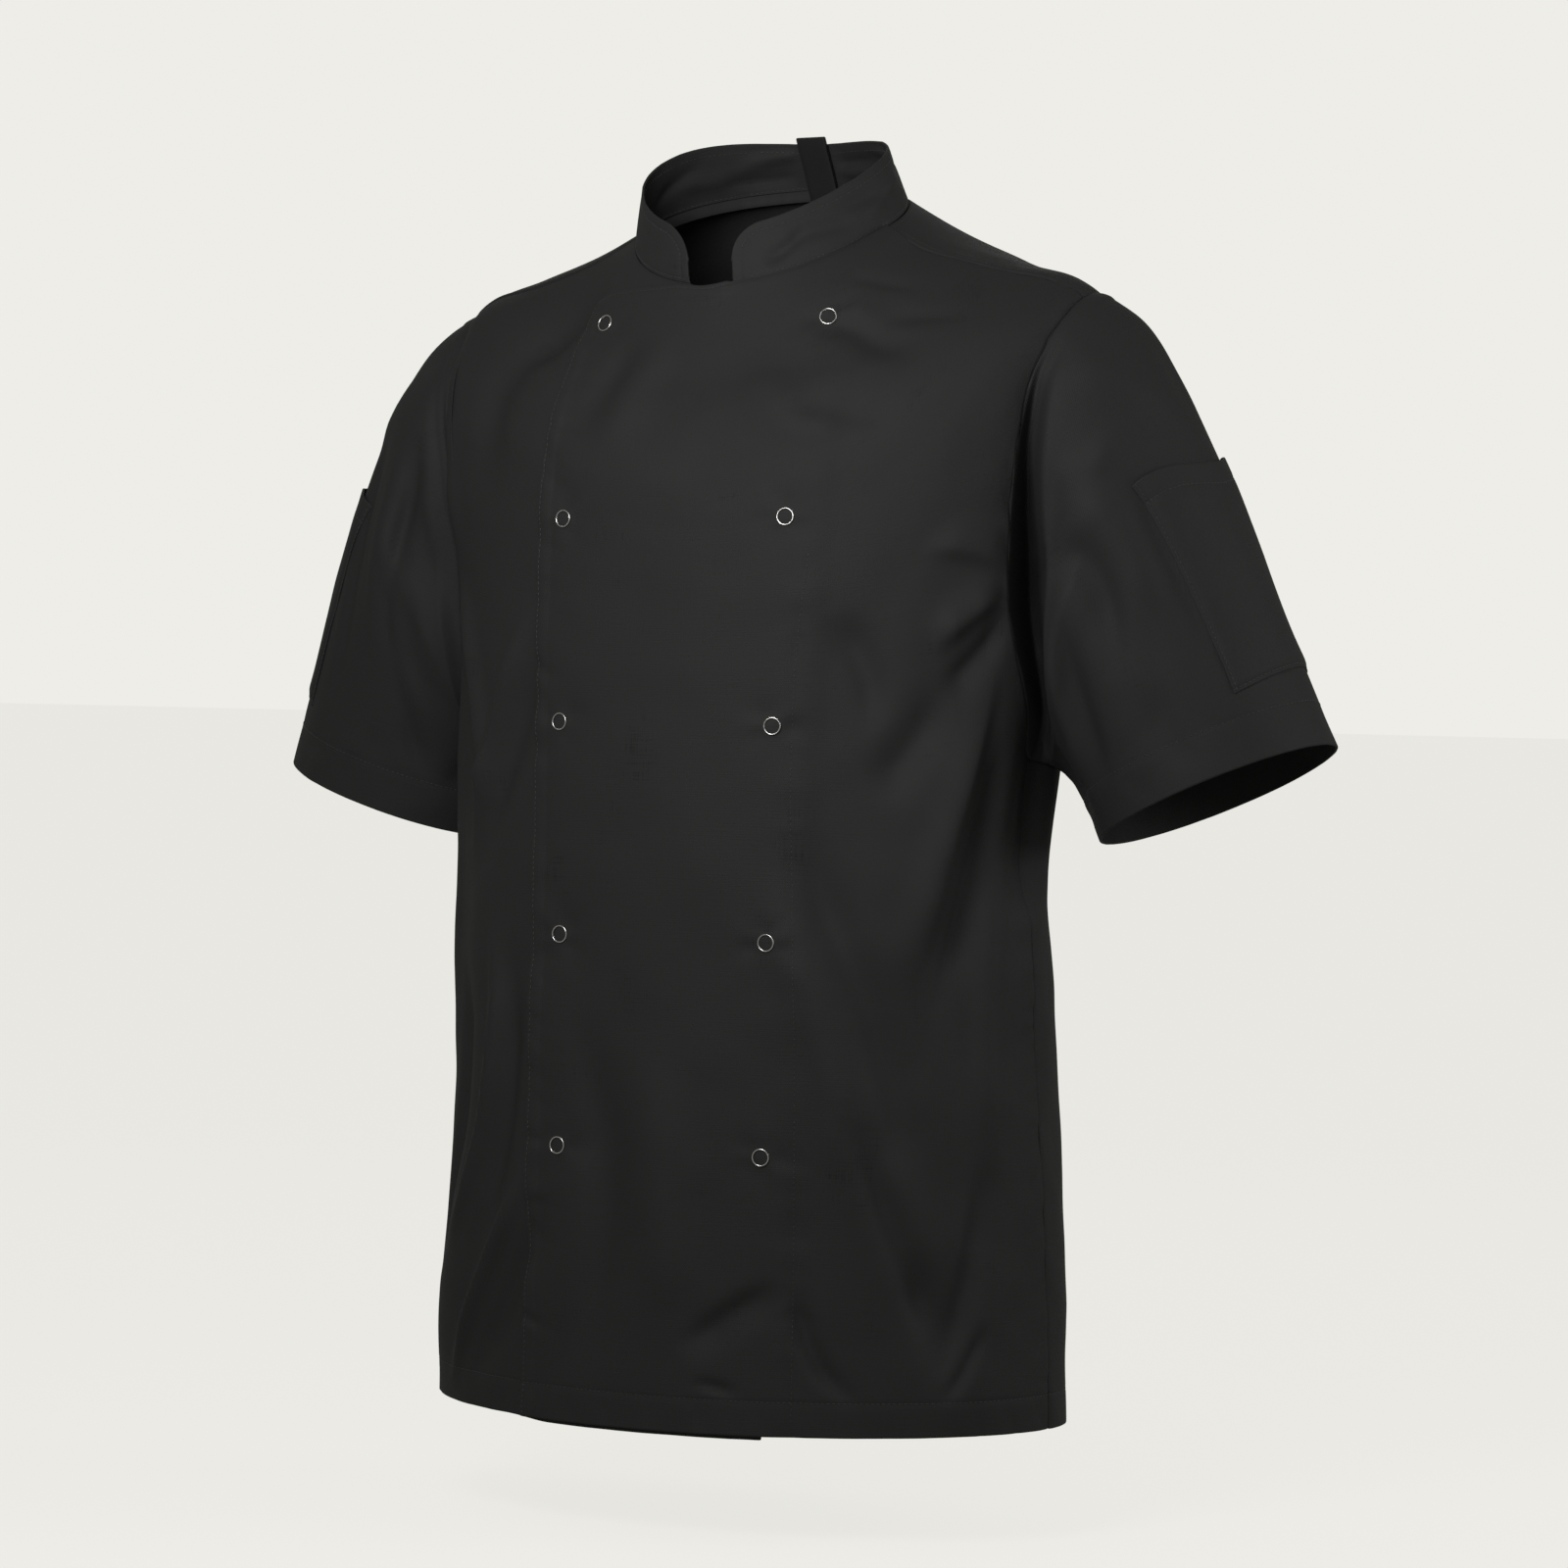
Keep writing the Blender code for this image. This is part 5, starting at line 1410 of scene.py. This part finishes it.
shoulder = int(np.searchsorted(BACK_COLUMNS, BACK_NECK_CELLS + 0.2))
half = len(BACK_COLUMNS)
back_lines = [across_line(back_cloth, back_from_hem, HEM_DEPTH)]
for columns in (slice(4, half - shoulder), slice(half + shoulder, 2 * half - 5)):
    back_lines.append(across_line(back_cloth[::-1], back_from_top[::-1], SHOULDER_STITCH, columns))
back_thread = stitches_piece("thread_back", back_lines)

for side, (piece, cloth, from_cuff) in sleeves.items():
    around = np.concatenate([cloth, cloth[:, :1]], axis=1)
    field = np.concatenate([from_cuff, from_cuff[:, :1]], axis=1)
    cuff_thread = stitches_piece("thread_sleeve_" + side, [across_line(around, field, CUFF_HEM)])

for side, (piece, cloth, (from_mouth, across, up)) in pockets.items():
    lines = [
        across_line(cloth[::-1], from_mouth[::-1], POCKET_MOUTH_HEM),
        across_line(cloth, up, POCKET_STITCH),
        up_line(cloth, across, POCKET_STITCH),
        up_line(cloth, across, across[0, -1] / MM - POCKET_STITCH),
    ]
    pocket_thread = stitches_piece("thread_pocket_" + side, lines)

from_border, rise, from_end = collar_runs
at_ends = np.split(from_end < 5.4 * MM, [len(from_end) // 2])  # where the edge stitches turn down
inside_ends = slice(int(at_ends[0].sum()), -int(at_ends[1].sum()))
columns = np.arange(len(from_end), dtype=float)[inside_ends]
rows = crossing(-from_border[2:], -COLLAR_STITCH * MM)[inside_ends] + 2
collar_lines = []
for inner in (None, collar_thick):
    seam = across_line(collar_cloth, rise, COLLAR_SEAM_STITCH, slice(3, -3), inner=inner)
    collar_lines += [stitch_line(collar_cloth, rows, columns, inner=inner), seam]
collar_thread = stitches_piece("thread_collar", collar_lines)

# Floor, light and camera ------------------------------------------------------------------------
# A plain pale floor and backdrop, a soft box in front, a weaker one on the wearer's left and one
# behind, in a dimmer room.
PALE = (0.855, 0.847, 0.807)
FLOOR_HEIGHT, FLOOR_REACH = -0.80, 60
FLOOR_COLOUR = (0.11, 0.106, 0.10)
FLOOR_GLOW = 0.92
ROOM_LIGHT = 0.25
floor_mesh = bpy.data.meshes.new("floor")
ways = ((-1, -1), (1, -1), (1, 1), (-1, 1))
corners = [(x * FLOOR_REACH, y * FLOOR_REACH, FLOOR_HEIGHT) for x, y in ways]
floor_mesh.from_pydata(corners, [], [(0, 1, 2, 3)])
floor = bpy.data.objects.new("floor", floor_mesh)
bpy.context.scene.collection.objects.link(floor)
pale, _, _ = new_finish(
    "pale_floor",
    Base_Color=(*FLOOR_COLOUR, 1),
    Roughness=1.0,
    Specular_IOR_Level=0.0,
    Emission_Color=(*PALE, 1),
    Emission_Strength=FLOOR_GLOW,
)
floor.data.materials.append(pale)
floor.visible_diffuse = False
floor.visible_glossy = False

world = bpy.data.worlds.new("studio")
world.use_nodes = True
backdrop = world.node_tree.nodes["Background"]
seen = node(world.node_tree, "LightPath").outputs["Is Camera Ray"]
strength = node(world.node_tree, "MapRange", Value=seen, To_Min=ROOM_LIGHT, To_Max=1.0).outputs[0]
wire(world.node_tree, backdrop, Color=(*PALE, 1), Strength=strength)
bpy.context.scene.world = world
bpy.context.scene.view_settings.view_transform = "Standard"

# name, degrees round from the front, degrees up, metres away, metres across and watts
LIGHTS = (
    ("key", 8, 18, 1.0, 0.5, 6.9),
    ("side", 108, 10, 1.8, 0.9, 8.0),
    ("behind", 205, 24, 2.6, 1.4, 3.0),
)
LIT_PLACE = Vector((0, 0, -0.15))


def way_to(azimuth, elevation):
    """Unit vector that far round from the front, towards the wearer's left, and that far up."""
    turn, rise = np.radians([azimuth, elevation])
    return Vector((np.sin(turn) * np.cos(rise), -np.cos(turn) * np.cos(rise), np.sin(rise)))


for name, azimuth, elevation, distance, size, power in LIGHTS:
    towards = way_to(azimuth, elevation)
    lamp = bpy.data.lights.new(name, "AREA")
    lamp.shape, lamp.size, lamp.energy = "DISK", size, power
    lamp_object = bpy.data.objects.new(name, lamp)
    lamp_object.location = LIT_PLACE + towards * distance
    lamp_object.rotation_euler = towards.to_track_quat("Z", "Y").to_euler()
    lamp_object.visible_camera = False
    bpy.context.scene.collection.objects.link(lamp_object)

LOOK_AT = Vector((0.0155, 0.009, -0.3475))
CAMERA_AZIMUTH, CAMERA_ELEVATION, CAMERA_ROLL, CAMERA_DISTANCE = 28.4, 1.0, 1.1, 3.8
FOCAL_PIXELS, FRAME_PIXELS, SENSOR = 6277.6, 1600, 36
turn, roll = np.radians([CAMERA_AZIMUTH, CAMERA_ROLL])
towards = way_to(CAMERA_AZIMUTH, CAMERA_ELEVATION)
right_way = Vector((np.cos(turn), np.sin(turn), 0))
up_way = towards.cross(right_way)
rolled_right = right_way * np.cos(roll) + up_way * np.sin(roll)
rolled_up = up_way * np.cos(roll) - right_way * np.sin(roll)
lens = bpy.data.cameras.new("camera")
lens.sensor_width = SENSOR
lens.lens = FOCAL_PIXELS / FRAME_PIXELS * SENSOR
camera = bpy.data.objects.new("camera", lens)
camera.matrix_world = Matrix.Translation(LOOK_AT + towards * CAMERA_DISTANCE) @ Matrix(
    (rolled_right, rolled_up, towards)
).transposed().to_4x4()
bpy.context.scene.collection.objects.link(camera)
bpy.context.scene.camera = camera
